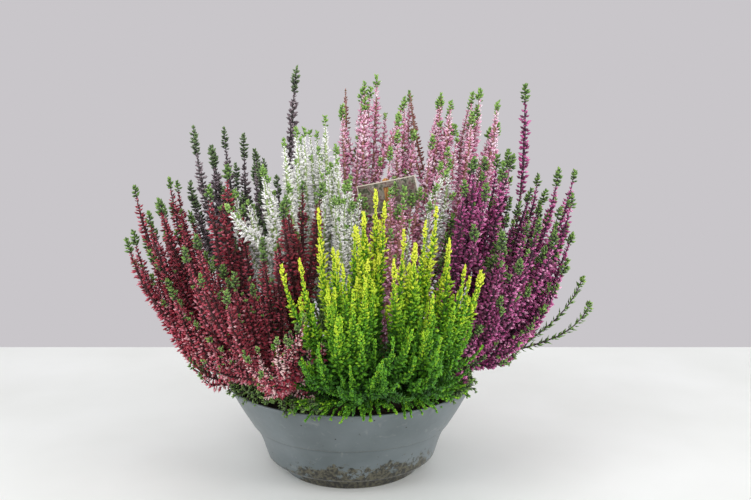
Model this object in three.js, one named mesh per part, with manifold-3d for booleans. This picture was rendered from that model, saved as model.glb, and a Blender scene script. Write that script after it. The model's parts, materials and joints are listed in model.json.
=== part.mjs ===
/**
 * Six young heather plants in one round planter bowl, with a blank plant label on a stake.
 *
 * Units are millimetres and +Z is up. The origin is the centre of the face that the bowl
 * stands on. +X is to the right and -Y is towards whoever looks at the planting's front.
 *
 * The bowl holds the potting soil. The soil holds one root ball for each plant, on each
 * root ball stands a woody crown, and each crown's stubs carry the plant's sprays. A spray
 * is one leading shoot with the side shoots that grew from it, all one solid.
 */
import * as THREE from 'three';
import { mergeVertices } from 'three/addons/utils/BufferGeometryUtils.js';
import Module from 'manifold-3d';

const wasm = await Module();
wasm.setup();

// ---------------------------------------------------------------------------
// Driving dimensions
// ---------------------------------------------------------------------------

const GAP = 0.3; // between pieces that touch
const WELD = 1e-4; // below which two vertices are the same

const BOWL = {
  segments: 40,
  wall: 1.6,
  height: 70,
  rimRadius: 95,
  footRadius: 52, // of the flat face that the bowl stands on
  drainHoles: 5,
  drainRadius: 4,
  drainCircle: 30,
  drillHeight: 10,
  drillSegments: 12,
  lip: 0.8, // drop of the rounded rim on each side
};

// The bowl's outline from foot to rim: [radius, height]. A low foot, then the rounded ledge on
// which stacked bowls rest, a wall up to a sharp groove, and the flaring wall above that.
const FOOT = [[BOWL.footRadius, 0], [53.6, 0.8], [56.6, 8.6]];
const LEDGE = [[62.6, 9.6], [65.6, 11.4]];
const LOWER_WALL = [[66.4, 13.4], [70.8, 27], [75.4, 36.2]];
const GROOVE = [75.8, 37.3];
const UPPER_WALL = [[77.6, 38.2], [86, 52.4], [BOWL.rimRadius, BOWL.height - BOWL.lip]];
const WALL_STEPS = 3;

const SOIL = { level: 60, crown: 61.5 }; // height at the wall and in the middle

const BALL = { top: 62, bottom: 25, topRadius: 21, bottomRadius: 15, shoulder: 2.5, segments: 12 };

const CROWN = { height: 3, footRadius: 5, topRadius: 2.5, segments: 10 };
const STUB = { radius: 1.2, heart: 2, bend: 1.5, bendAt: 0.6, sides: 4 };

// Shoots start on a low dome over the crown, in an order that mirrors where their tips are.
const RING = { share: 0.075, spacing: 5.2, rounds: 200, peak: 9, fall: 0.5 };

const LEADER = { start: 1.1, stem: 1.0, spike: 4.0, flowering: 92, stations: 4 };
const SIDE = { start: 0.5, stem: 0.85, spike: 3.7, flowering: 66, stations: 2 };
const SHOOT_SIDES = 5;
const TIP = { blunt: 0.6, cone: 5, full: 14 }; // radius at the very end, then lengths from it
const TAPER = 14; // length over which a flower spike thins into its bare stem
const SPIKE = { mostOfShoot: 0.62, leastBare: 0.1, foot: 0.9, shoulder: 0.75 }; // shares

// A leader's two curve handles, as shares of the way out and of the way up to its tip.
const LEADER_LINE = { out: [0.5, 0.9], up: [0.16, 0.5] };

// A side shoot's curve handles are shares of its length. Its end leans by a share of its way
// out, and one whose tip is hardly above its fork spreads or droops: [outwards, upwards].
const SIDE_LINE = {
  leave: 0.3,
  arrive: 0.4,
  lean: 0.3,
  lift: 0.2,
  low: 10,
  spreading: [0.9, 0.43],
  drooping: [0.6, -0.8],
};

// Where side shoots leave their leader, as shares of its length, used in turn.
const FORKS = [0.34, 0.4, 0.3, 0.46, 0.36, 0.43];

const STAKE = { x: 27, y: 22, width: 6, thickness: 1.6, top: 223, bottom: 34, point: 9 };
const HEAD_STEPS = 4; // in the round of the stake's head
const CARD = { width: 47, height: 24, thickness: 0.8, bow: 2.4, tilt: 11, top: 221, steps: 8 };
const SLOT = { width: 5.9, top: 5, bottom: 20 }; // in the card, its ends from the card's top

// Each plant: where its crown stands, its colours, and its sprays. A spray is a list of tips
// [x, y, z]: the leading shoot's first, then those of its side shoots. A leader that turns
// upright early has its own shares of the way out, under its spray's number from nought.
const PLANTS = [
  {
    name: 'crimson',
    crown: [-43, -20],
    colour: '#8c2238',
    sprays: [
      [[-165, -20, 178], [-168, 5, 181]],
      [[-164, 0, 216], [-147, -25, 199], [-152, 38, 196]],
      [[-140, 10, 221], [-143, -8, 206], [-138, 25, 219]],
      [[-79, -90, 152], [-98, -80, 162], [-77, -70, 161], [-108, -45, 184], [-113, -60, 177]],
      [[-101, -31, 218], [-78, -22, 203], [-93, -4, 232]],
      [[-65, -69, 153], [-62, -39, 182]],
      [[-33, -38, 221], [-45, -56, 208], [-20, -42, 220]],
      [[-42, -124, 130], [-37, -118, 130], [-54, -112, 89]],
      [[-117, -35, 86], [-106, -52, 84]],
    ],
  },
  {
    name: 'dusky',
    crown: [-36, 30],
    colour: '#5a4a52',
    early: { 2: [2, 2.6] },
    sprays: [
      [[-126, 35, 261], [-126, 18, 218], [-114, 48, 246]],
      [[-107, 62, 261], [-89, 50, 256], [-102, 85, 231]],
      [[-46, 62, 310], [-62, 48, 222]],
      [[-75, 65, 235], [-85, 80, 231]],
      [[-118, 98, 214], [-98, 118, 196], [-140, 78, 188]],
      [[-52, 120, 222], [-28, 126, 204], [-74, 132, 186]],
    ],
  },
  {
    name: 'white',
    crown: [0, 0],
    colour: '#dfe6c8',
    sprays: [
      [[-66, 0, 230], [-88, -1, 214]],
      [[-51, 8, 251], [-47, 2, 218]],
      [[-43, 24, 260], [-37, 25, 260]],
      [[-22, 49, 270], [-29, 52, 258], [-12, 20, 247]],
      [[0, 0, 224], [-11, -25, 209]],
      [[77, 16, 235], [60, -4, 204]],
    ],
  },
  {
    name: 'pink',
    crown: [16, 46],
    colour: '#cc7ba8',
    sprays: [
      [[-8, 55, 280], [-6, 70, 293]],
      [[10, 58, 298], [20, 70, 304]],
      [[43, 62, 286], [37, 45, 258], [48, 80, 292], [50, 68, 260]],
      [[73, 60, 289], [80, 50, 282], [77, 35, 245]],
      [[99, 62, 290], [107, 75, 293], [97, 45, 273]],
      [[119, 55, 282], [122, 70, 265], [128, 88, 222]],
      [[30, -22, 216], [39, -30, 208], [30, -40, 188]],
      [[44, 124, 226], [72, 116, 238], [16, 128, 212], [98, 112, 206]],
    ],
  },
  {
    name: 'purple',
    crown: [48, 4],
    colour: '#8a3068',
    early: { 0: [0.9, 1.04] },
    sprays: [
      [[138, 38, 294], [152, 47, 223], [150, 74, 206]],
      [[123, 22, 243], [116, 0, 234]],
      [[103, 8, 237], [115, 25, 239], [93, -5, 238]],
      [[84, -22, 221], [100, -25, 219]],
      [[162, 18, 228], [179, 36, 227]],
      [[169, 0, 209], [151, -25, 185]],
      [[137, -35, 195], [108, -50, 186], [88, -50, 191], [120, -55, 168]],
      [[183, 15, 144], [183, -8, 128], [116, -25, 87]],
    ],
  },
  {
    name: 'lime',
    crown: [19, -45],
    colour: '#8fb92c',
    sprays: [
      [[-30, -92, 174], [-42, -92, 170], [-27, -115, 114]],
      [[-18, -82, 181], [-6, -85, 178], [-20, -62, 205]],
      [[-2, -97, 171], [5, -112, 157]],
      [[19, -56, 217], [25, -62, 209], [11, -66, 203], [7, -78, 193], [14, -97, 174]],
      [[38, -76, 191], [31, -97, 174], [22, -132, 115]],
      [[53, -66, 196], [61, -58, 205], [45, -82, 183]],
      [[79, -76, 167], [69, -70, 184], [91, -66, 162], [56, -102, 152], [70, -96, 143],
        [57, -122, 120]],
    ],
  },
];

// ---------------------------------------------------------------------------
// Helpers
// ---------------------------------------------------------------------------

const vector = (x, y, z) => new THREE.Vector3(x, y, z);
const degrees = THREE.MathUtils.degToRad;

/** A three.js geometry as a manifold solid, whose shared vertices are merged. */
function solid(geometry) {
  const bare = geometry.clone();
  bare.deleteAttribute('normal');
  bare.deleteAttribute('uv');
  const merged = mergeVertices(bare, WELD);
  return new wasm.Manifold(new wasm.Mesh({
    numProp: 3,
    vertProperties: new Float32Array(merged.attributes.position.array),
    triVerts: new Uint32Array(merged.index.array),
  }));
}

/** A manifold solid as a three.js geometry. */
function geometryOf(body) {
  const mesh = body.getMesh();
  const geometry = new THREE.BufferGeometry();
  geometry.setAttribute('position', new THREE.BufferAttribute(mesh.vertProperties, 3));
  geometry.setIndex(new THREE.BufferAttribute(mesh.triVerts, 1));
  geometry.computeVertexNormals();
  return geometry;
}

function mesh(name, geometry, { colour, roughness = 0.8 }) {
  const material = new THREE.MeshStandardMaterial({ color: colour, roughness, metalness: 0 });
  const piece = new THREE.Mesh(geometry, material);
  piece.name = name;
  return piece;
}

/** Turns an outline of [radius, height] points about the Z axis. */
function turned(outline, segments) {
  const points = outline.map(([radius, height]) => new THREE.Vector2(radius, height));
  return new THREE.LatheGeometry(points, segments).rotateX(Math.PI / 2);
}

/** Points on a smooth curve through a few [radius, height] points. */
function smooth(points, steps) {
  const curve = new THREE.SplineCurve(points.map(([r, h]) => new THREE.Vector2(r, h)));
  return curve.getPoints(steps).map((p) => [p.x, p.y]);
}

/** An outline moved sideways by a distance, to the left of its direction of travel. */
function offset(outline, distance) {
  return outline.map(([r, h], i) => {
    const [r0, h0] = outline[Math.max(i - 1, 0)];
    const [r1, h1] = outline[Math.min(i + 1, outline.length - 1)];
    const length = Math.hypot(r1 - r0, h1 - h0);
    return [r - (distance * (h1 - h0)) / length, h + (distance * (r1 - r0)) / length];
  });
}

/**
 * A round solid that follows a curve. Stations are [share of length, radius], from the
 * curve's start to its end, and both ends are flat.
 */
function shoot(curve, stations, sides) {
  const last = stations.length - 1;
  const outline = [[0, 0], ...stations.map(([, radius], i) => [radius, i]), [0, last]];
  const points = outline.map(([x, y]) => new THREE.Vector2(x, y));
  const geometry = new THREE.LatheGeometry(points, sides);
  let normal = vector(0, 0, 1).cross(curve.getTangentAt(0));
  const rings = stations.map(([share]) => {
    const tangent = curve.getTangentAt(share);
    normal = normal.clone().addScaledVector(tangent, -normal.dot(tangent)).normalize();
    return { centre: curve.getPointAt(share), normal, side: tangent.clone().cross(normal) };
  });
  const position = geometry.attributes.position;
  const point = vector(0, 0, 0);
  for (let i = 0; i < position.count; i += 1) {
    const ring = rings[Math.round(position.getY(i))];
    point.copy(ring.centre);
    point.addScaledVector(ring.normal, position.getX(i));
    point.addScaledVector(ring.side, -position.getZ(i));
    position.setXYZ(i, point.x, point.y, point.z);
  }
  return geometry;
}

// ---------------------------------------------------------------------------
// Bowl, soil and root balls
// ---------------------------------------------------------------------------

function bowlOutline() {
  return [
    ...FOOT,
    ...LEDGE,
    ...smooth(LOWER_WALL, WALL_STEPS),
    GROOVE,
    ...smooth(UPPER_WALL, WALL_STEPS),
  ];
}

function bowl() {
  const outside = bowlOutline();
  const inside = offset(outside, BOWL.wall).filter(([, height]) => height > BOWL.wall);
  const lip = [[BOWL.rimRadius - BOWL.wall / 2, BOWL.height]];
  const floor = [[BOWL.footRadius, BOWL.wall], [0, BOWL.wall]];
  const outline = [[0, 0], ...outside, ...lip, ...inside.reverse(), ...floor];
  const { drainRadius, drillHeight, drillSegments } = BOWL;
  let body = solid(turned(outline, BOWL.segments));
  for (let i = 0; i < BOWL.drainHoles; i += 1) {
    const angle = (i / BOWL.drainHoles) * 2 * Math.PI;
    const hole = new THREE.CylinderGeometry(drainRadius, drainRadius, drillHeight, drillSegments)
      .rotateX(Math.PI / 2)
      .translate(BOWL.drainCircle * Math.cos(angle), BOWL.drainCircle * Math.sin(angle), 0);
    body = body.subtract(solid(hole));
  }
  return geometryOf(body);
}

/** A root ball's shape, grown by a margin on every side for the pocket that it sits in. */
function rootBall([x, y], margin, top = BALL.top) {
  const outline = [
    [0, BALL.bottom - margin],
    [BALL.bottomRadius + margin, BALL.bottom - margin],
    [BALL.topRadius + margin, SOIL.level - BALL.shoulder],
    [BALL.topRadius + margin - BALL.shoulder * (margin ? 0 : 1), top],
    [0, top],
  ];
  return turned(outline, BALL.segments).translate(x, y, 0);
}

function soil() {
  const wall = offset(bowlOutline(), BOWL.wall + GAP);
  const side = wall.filter(([, height]) => height > BOWL.wall + GAP && height < SOIL.level);
  const [upper] = wall.filter(([, height]) => height >= SOIL.level);
  const lower = side[side.length - 1];
  const share = (SOIL.level - lower[1]) / (upper[1] - lower[1]);
  const edge = [lower[0] + share * (upper[0] - lower[0]), SOIL.level];
  const outline = [
    [0, BOWL.wall + GAP],
    [BOWL.footRadius, BOWL.wall + GAP],
    ...side,
    edge,
    [edge[0] / 2, SOIL.crown],
    [0, SOIL.crown],
  ];
  let body = solid(turned(outline, BOWL.segments));
  for (const plant of PLANTS) {
    body = body.subtract(solid(rootBall(plant.crown, GAP, BOWL.height)));
  }
  const { x, y, width, thickness, bottom } = STAKE;
  const slot = new THREE.BoxGeometry(width + 2 * GAP, thickness + 2 * GAP, BOWL.height)
    .translate(x, y, bottom - GAP + BOWL.height / 2);
  return geometryOf(body.subtract(solid(slot)));
}

// ---------------------------------------------------------------------------
// Plants
// ---------------------------------------------------------------------------

/** Where a plant's leading shoots start: a ring like that of their tips, spread apart. */
function shootRing(plant) {
  const [cx, cy] = plant.crown;
  const starts = plant.sprays.map(([[x, y]]) => new THREE.Vector2(
    cx + RING.share * (x - cx),
    cy + RING.share * (y - cy),
  ));
  for (let round = 0; round < RING.rounds; round += 1) {
    for (let i = 0; i < starts.length; i += 1) {
      for (let j = i + 1; j < starts.length; j += 1) {
        const apart = starts[j].clone().sub(starts[i]);
        const missing = RING.spacing - apart.length();
        if (missing > 0) {
          apart.setLength(missing / 2);
          starts[i].sub(apart);
          starts[j].add(apart);
        }
      }
    }
  }
  return starts.map((p) => {
    const out = Math.hypot(p.x - cx, p.y - cy);
    return vector(p.x, p.y, BALL.top + RING.peak - RING.fall * out);
  });
}

/** A plant's leading shoots' lines: each sets off outwards and then turns up to its tip. */
function leaderCurves(plant) {
  return shootRing(plant).map((start, i) => {
    const tip = vector(...plant.sprays[i][0]);
    const run = vector(tip.x - start.x, tip.y - start.y, 0);
    const rise = vector(0, 0, tip.z - start.z);
    const out = plant.early?.[i] ?? LEADER_LINE.out;
    const [first, second] = LEADER_LINE.up.map((up, handle) => (
      start.clone().addScaledVector(run, out[handle]).addScaledVector(rise, up)
    ));
    return new THREE.CubicBezierCurve3(start, first, second, tip);
  });
}

/** A side shoot leaves its leader along it, and ends upright, or drooping if its tip is low. */
function sideCurve(leader, share, tip) {
  const start = leader.getPoint(share);
  const span = tip.clone().sub(start);
  const length = span.length();
  const end = vector(span.x, span.y, 0);
  if (span.z < SIDE_LINE.low) {
    const [out, up] = span.z < 0 ? SIDE_LINE.drooping : SIDE_LINE.spreading;
    end.setLength(out).setZ(up);
  } else {
    end.multiplyScalar(SIDE_LINE.lean).setZ(span.z + SIDE_LINE.lift * length);
  }
  end.normalize();
  const first = start.clone().addScaledVector(leader.getTangent(share), SIDE_LINE.leave * length);
  const second = tip.clone().addScaledVector(end, -SIDE_LINE.arrive * length);
  return new THREE.CubicBezierCurve3(start, first, second, tip);
}

/** Stations of a shoot: a bare stem, then a flower spike that ends in a blunt tip. */
function spikeStations(length, { start, stem, spike, flowering, stations }) {
  const flowers = Math.min(flowering, SPIKE.mostOfShoot * length);
  const bare = Math.max(length - flowers - TAPER, SPIKE.leastBare * length);
  const fromStart = [];
  for (let i = 0; i <= stations; i += 1) {
    fromStart.push([(bare * i) / stations, i ? stem : start]);
  }
  fromStart.push([length - flowers, spike * SPIKE.foot]);
  fromStart.push([length - TIP.full, spike]);
  fromStart.push([length - TIP.cone, spike * SPIKE.shoulder]);
  fromStart.push([length, TIP.blunt]);
  return fromStart.map(([distance, radius]) => [distance / length, radius]);
}

/** One spray: the leader and its side shoots, joined where they fork. */
function spray(leader, sideTips) {
  let body = solid(shoot(leader, spikeStations(leader.getLength(), LEADER), SHOOT_SIDES));
  sideTips.forEach((tip, i) => {
    const curve = sideCurve(leader, FORKS[i % FORKS.length], vector(...tip));
    const stations = spikeStations(curve.getLength(), SIDE);
    body = body.add(solid(shoot(curve, stations, SHOOT_SIDES)));
  });
  return geometryOf(body);
}

/** The woody base of a plant, with a stub that meets the start of each leading shoot. */
function crown([x, y], leaders) {
  const foot = BALL.top + GAP;
  const { height, footRadius, topRadius, segments } = CROWN;
  const outline = [[0, 0], [footRadius, 0], [topRadius, height], [0, height]];
  let body = solid(turned(outline, segments).translate(x, y, foot));
  for (const leader of leaders) {
    const direction = leader.getTangent(0);
    const end = leader.getPoint(0).addScaledVector(direction, -GAP);
    const elbow = end.clone().addScaledVector(direction, -STUB.bend);
    const heart = vector(x, y, foot + STUB.heart);
    const curve = new THREE.QuadraticBezierCurve3(heart, elbow, end);
    const stations = [0, STUB.bendAt, 1].map((share) => [share, STUB.radius]);
    body = body.add(solid(shoot(curve, stations, STUB.sides)));
  }
  return geometryOf(body);
}

// ---------------------------------------------------------------------------
// Label
// ---------------------------------------------------------------------------

/** A flat wooden stake with a rounded head and a point in the soil. */
function stake() {
  const { x, y, width, thickness, top, bottom, point } = STAKE;
  const half = width / 2;
  const shape = new THREE.Shape();
  shape.moveTo(0, bottom);
  shape.lineTo(half, bottom + point);
  shape.lineTo(half, top - half);
  shape.absarc(0, top - half, half, 0, Math.PI, false);
  shape.lineTo(-half, bottom + point);
  shape.closePath();
  const plate = { depth: thickness, bevelEnabled: false, curveSegments: HEAD_STEPS };
  return new THREE.ExtrudeGeometry(shape, plate)
    .rotateX(Math.PI / 2)
    .translate(x, y + thickness / 2, 0);
}

/** A thin blank card, bowed a little, against the front of the stake, which its slot shows. */
function card() {
  const { width, height, thickness, bow, tilt, top, steps } = CARD;
  const bend = (x) => -bow * (1 - (2 * x / width) ** 2);
  const shape = new THREE.Shape();
  const xs = Array.from({ length: steps + 1 }, (_, i) => width * (i / steps - 0.5));
  shape.moveTo(xs[0], bend(xs[0]));
  xs.slice(1).forEach((x) => shape.lineTo(x, bend(x)));
  xs.reverse().forEach((x) => shape.lineTo(x, bend(x) + thickness));
  shape.closePath();
  const front = STAKE.y - STAKE.thickness / 2 - 2 * GAP;
  const sheet = new THREE.ExtrudeGeometry(shape, { depth: height, bevelEnabled: false })
    .translate(0, bow - thickness, -height);
  const slot = new THREE.BoxGeometry(SLOT.width, height, SLOT.bottom - SLOT.top)
    .translate(0, 0, -(SLOT.top + SLOT.bottom) / 2);
  return geometryOf(solid(sheet).subtract(solid(slot)))
    .rotateY(degrees(-tilt))
    .translate(STAKE.x, front, top);
}

// ---------------------------------------------------------------------------
// Assembly
// ---------------------------------------------------------------------------

const group = new THREE.Group();
group.add(mesh('planter_bowl', bowl(), { colour: '#7f8a8d', roughness: 0.6 }));
group.add(mesh('potting_soil', soil(), { colour: '#2e241b', roughness: 1 }));
for (const plant of PLANTS) {
  const leaders = leaderCurves(plant);
  const stems = new THREE.Group();
  stems.add(mesh(`root_ball_${plant.name}`, rootBall(plant.crown, 0), { colour: '#3a2c20' }));
  stems.add(mesh(`crown_${plant.name}`, crown(plant.crown, leaders), { colour: '#5d4630' }));
  plant.sprays.forEach(([, ...sideTips], i) => {
    const name = `spray_${plant.name}_${String(i + 1)}`;
    stems.add(mesh(name, spray(leaders[i], sideTips), { colour: plant.colour }));
  });
  group.add(stems);
}
group.add(mesh('label_stake', stake(), { colour: '#a9743a', roughness: 0.7 }));
group.add(mesh('label_card', card(), { colour: '#b9bcae', roughness: 0.5 }));

export default group;
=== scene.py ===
"""Six young heather plants in one round planter bowl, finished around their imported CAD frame.

The classes hold sizes in millimetres, and metres start where a mesh is made. +Z is up, +X is
to the right and -Y is towards whoever looks at the planting's front.

A plant is a woody crown with sprays. A spray is a leading shoot with the side shoots that
grew from it. Geometry Nodes sweep the stems along the shoots' lines and set the buds and
scale leaves on them in whorls.
"""

import sys

import json
import logging
import math
import random
from collections.abc import Iterator
from dataclasses import dataclass, field
from enum import Enum

import bmesh
import bpy
from mathutils import Matrix, Vector

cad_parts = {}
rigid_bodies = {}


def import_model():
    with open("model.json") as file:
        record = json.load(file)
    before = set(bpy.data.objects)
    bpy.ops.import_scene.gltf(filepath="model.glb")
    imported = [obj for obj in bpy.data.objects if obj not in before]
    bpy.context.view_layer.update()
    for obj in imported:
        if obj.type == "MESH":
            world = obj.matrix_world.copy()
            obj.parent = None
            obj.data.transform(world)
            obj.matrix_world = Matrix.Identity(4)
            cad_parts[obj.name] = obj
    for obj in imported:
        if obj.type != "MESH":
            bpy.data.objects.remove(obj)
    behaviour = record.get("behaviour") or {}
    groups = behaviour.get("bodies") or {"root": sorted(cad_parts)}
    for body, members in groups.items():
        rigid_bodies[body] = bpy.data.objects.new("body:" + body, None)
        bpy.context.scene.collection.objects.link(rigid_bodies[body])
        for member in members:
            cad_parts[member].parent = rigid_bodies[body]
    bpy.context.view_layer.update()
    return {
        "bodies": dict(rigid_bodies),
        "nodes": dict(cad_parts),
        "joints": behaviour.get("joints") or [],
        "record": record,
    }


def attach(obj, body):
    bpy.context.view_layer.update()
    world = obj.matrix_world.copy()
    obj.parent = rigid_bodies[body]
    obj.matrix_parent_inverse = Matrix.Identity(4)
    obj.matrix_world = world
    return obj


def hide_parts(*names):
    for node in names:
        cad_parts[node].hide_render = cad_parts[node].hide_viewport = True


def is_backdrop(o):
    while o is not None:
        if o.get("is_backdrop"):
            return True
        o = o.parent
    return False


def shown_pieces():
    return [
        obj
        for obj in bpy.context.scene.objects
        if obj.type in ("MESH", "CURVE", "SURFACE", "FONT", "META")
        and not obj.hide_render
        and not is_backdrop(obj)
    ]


MM = 0.001
BODY = "root"
BAKE_MAP = "OFBake"
TINT_STEPS = 16  # shades that a kind of organ is sorted into, each a column of its colour map
COLUMN_FILL = 0.8  # share of such a column that an organ's map takes

log = logging.getLogger("heather")

Colour = tuple[float, float, float, float]
Point = tuple[float, float, float]
Span = tuple[float, float]  # the two ends of a range
Outline = list[tuple[float, float]]  # [radius, height] points in millimetres
Line = tuple[Vector, Vector, Vector, Vector]  # a cubic Bezier curve
Grown = list[tuple[int, "Shoot"]]  # shoots, each after the number of the leader it grows from


# ---------------------------------------------------------------------------
# Helpers
# ---------------------------------------------------------------------------


def linear(code: str) -> Colour:
    """Turns an sRGB hex colour to linear.

    Args:
        code: The colour, as "#rrggbb".

    Returns:
        Linear red, green, blue, and an alpha of one.
    """
    parts = [int(code[i : i + 2], 16) / 255 for i in (1, 3, 5)]
    red, green, blue = (c / 12.92 if c <= 0.04045 else ((c + 0.055) / 1.055) ** 2.4 for c in parts)
    return (red, green, blue, 1.0)


def live(sockets: bpy.types.bpy_prop_collection, name: str) -> bpy.types.NodeSocket:
    """Finds the socket of a name that the node's settings leave in use."""
    return next(s for s in sockets if s.name == name and s.enabled)


class Graph:
    """A node tree in the making. A node, a socket or a value does for any input."""

    def __init__(self, tree: bpy.types.NodeTree) -> None:
        """Takes the tree that gets the nodes."""
        self.tree = tree

    def feed(self, node: bpy.types.Node, inputs: dict[str | int, object]) -> None:
        """Gives a node its values and its links.

        Args:
            node: The node.
            inputs: By socket name or number, a value, or the socket or node that feeds it.
        """
        for key, value in inputs.items():
            socket = node.inputs[key] if isinstance(key, int) else live(node.inputs, key)
            if isinstance(value, bpy.types.Node):
                value = next(s for s in value.outputs if s.enabled)
            if isinstance(value, bpy.types.NodeSocket):
                self.tree.links.new(value, socket)
            else:
                socket.default_value = value

    def add(
        self, kind: str, inputs: dict[str | int, object] | None = None, **settings: object
    ) -> bpy.types.Node:
        """Adds a node with its settings, its values and its links.

        Args:
            kind: The node's type name.
            inputs: By socket name or number, a value, or the socket or node that feeds it.
            settings: Its properties by name.

        Returns:
            The new node.
        """
        node = self.tree.nodes.new(kind)
        for name, value in settings.items():
            setattr(node, name, value)
        self.feed(node, inputs or {})
        return node

    def maths(self, operation: str, *terms: object) -> bpy.types.Node:
        """A sum, product or the like of its terms."""
        return self.add("ShaderNodeMath", dict(enumerate(terms)), operation=operation)

    def vector(self, operation: str, inputs: dict[str | int, object]) -> bpy.types.Node:
        """What an operation makes of vectors."""
        return self.add("ShaderNodeVectorMath", inputs, operation=operation)

    def axes(self, vector: object) -> bpy.types.bpy_prop_collection:
        """A vector's X, Y and Z."""
        return self.add("ShaderNodeSeparateXYZ", {"Vector": vector}).outputs

    def scaled(
        self, value: object, start: object, end: object, low: float = 0.0, high: float = 1.0,
        smooth: bool = False,
    ) -> bpy.types.Node:
        """Carries a value from one range to another, and holds it there.

        Args:
            value: The value.
            start: Where its range starts.
            end: Where its range ends, above the start or under it.
            low: The result at the start.
            high: The result at the end.
            smooth: Whether the result eases in and out.

        Returns:
            The node that gives the result.
        """
        return self.add(
            "ShaderNodeMapRange",
            {"Value": value, "From Min": start, "From Max": end, "To Min": low, "To Max": high},
            interpolation_type="SMOOTHSTEP" if smooth else "LINEAR",
        )


def link_object(name: str, mesh: bpy.types.Mesh) -> bpy.types.Object:
    """Puts a mesh in the scene as an object at the origin.

    Args:
        name: The object's name.
        mesh: Its mesh.

    Returns:
        The object.
    """
    piece = bpy.data.objects.new(name, mesh)
    bpy.context.scene.collection.objects.link(piece)
    return piece


def mesh_of(name: str, build: bmesh.types.BMesh) -> bpy.types.Mesh:
    """Turns a bmesh into a mesh with smooth faces that point outwards.

    Args:
        name: The mesh's name.
        build: The bmesh, which is freed.

    Returns:
        The mesh.
    """
    bmesh.ops.recalc_face_normals(build, faces=build.faces)
    for face in build.faces:
        face.smooth = True
    mesh = bpy.data.meshes.new(name)
    build.to_mesh(mesh)
    build.free()
    return mesh


def lathe(outline: Outline, segments: int) -> bmesh.types.BMesh:
    """Turns a closed outline about the Z axis.

    Args:
        outline: Points that start and end on the axis.
        segments: Steps in a full turn.

    Returns:
        A closed bmesh in metres.
    """
    build = bmesh.new()
    rings: list[list[bmesh.types.BMVert]] = []
    for radius, height in outline:
        count = segments if radius > 0 else 1
        angles = (2 * math.pi * i / segments for i in range(count))
        rings.append([
            build.verts.new((radius * MM * math.cos(a), radius * MM * math.sin(a), height * MM))
            for a in angles
        ])
    for lower, upper in zip(rings, rings[1:]):
        for i in range(segments):
            below, above = ([ring[j % len(ring)] for j in (i, i + 1)] for ring in (lower, upper))
            build.faces.new(list(dict.fromkeys([*below, *above[::-1]])))
    return build


def spline(points: Outline, steps: int) -> Outline:
    """Points on a smooth curve through a few points.

    Args:
        points: The points that it passes through.
        steps: Steps between each two of them.

    Returns:
        The curve's points, the first and last included.
    """
    ends = [points[0], *points, points[-1]]
    curve = [points[0]]
    for p0, p1, p2, p3 in zip(ends, ends[1:], ends[2:], ends[3:]):
        for i in range(1, steps + 1):
            t = i / steps
            curve.append(tuple(
                0.5 * (
                    2 * b + (c - a) * t + (2 * a - 5 * b + 4 * c - d) * t**2
                    + (3 * b - 3 * c + d - a) * t**3
                )
                for a, b, c, d in zip(p0, p1, p2, p3)
            ))
    return curve


def offset(outline: Outline, distance: float) -> Outline:
    """Moves an outline sideways.

    Args:
        outline: The points.
        distance: How far, to the left of the outline's direction of travel.

    Returns:
        The moved points.
    """
    moved = []
    for i, (radius, height) in enumerate(outline):
        r0, h0 = outline[max(i - 1, 0)]
        r1, h1 = outline[min(i + 1, len(outline) - 1)]
        side = distance / math.hypot(r1 - r0, h1 - h0)
        moved.append((radius - side * (h1 - h0), height + side * (r1 - r0)))
    return moved


def flatten(piece: bpy.types.Object) -> None:
    """Turns a piece's evaluated result into its own plain mesh, with no modifiers left.

    Args:
        piece: The piece.
    """
    graph = bpy.context.evaluated_depsgraph_get()
    mesh = bpy.data.meshes.new_from_object(
        piece.evaluated_get(graph), preserve_all_data_layers=True, depsgraph=graph
    )
    piece.modifiers.clear()
    old = piece.data
    piece.data = mesh
    bpy.data.meshes.remove(old)


def hand_in(piece: bpy.types.Object, slot: str, *nodes: str) -> None:
    """Attaches a finished piece to the frame's body, hides the CAD nodes that it stands for and
    logs its faces.

    Args:
        piece: The piece.
        slot: The name of a material slot of the record; not used.
        nodes: The CAD nodes that it stands for.
    """
    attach(piece, BODY)
    if nodes:
        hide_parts(*nodes)
    log.info("%s: %d faces", piece.name, len(piece.data.polygons))


# ---------------------------------------------------------------------------
# Finishes
# ---------------------------------------------------------------------------


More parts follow.
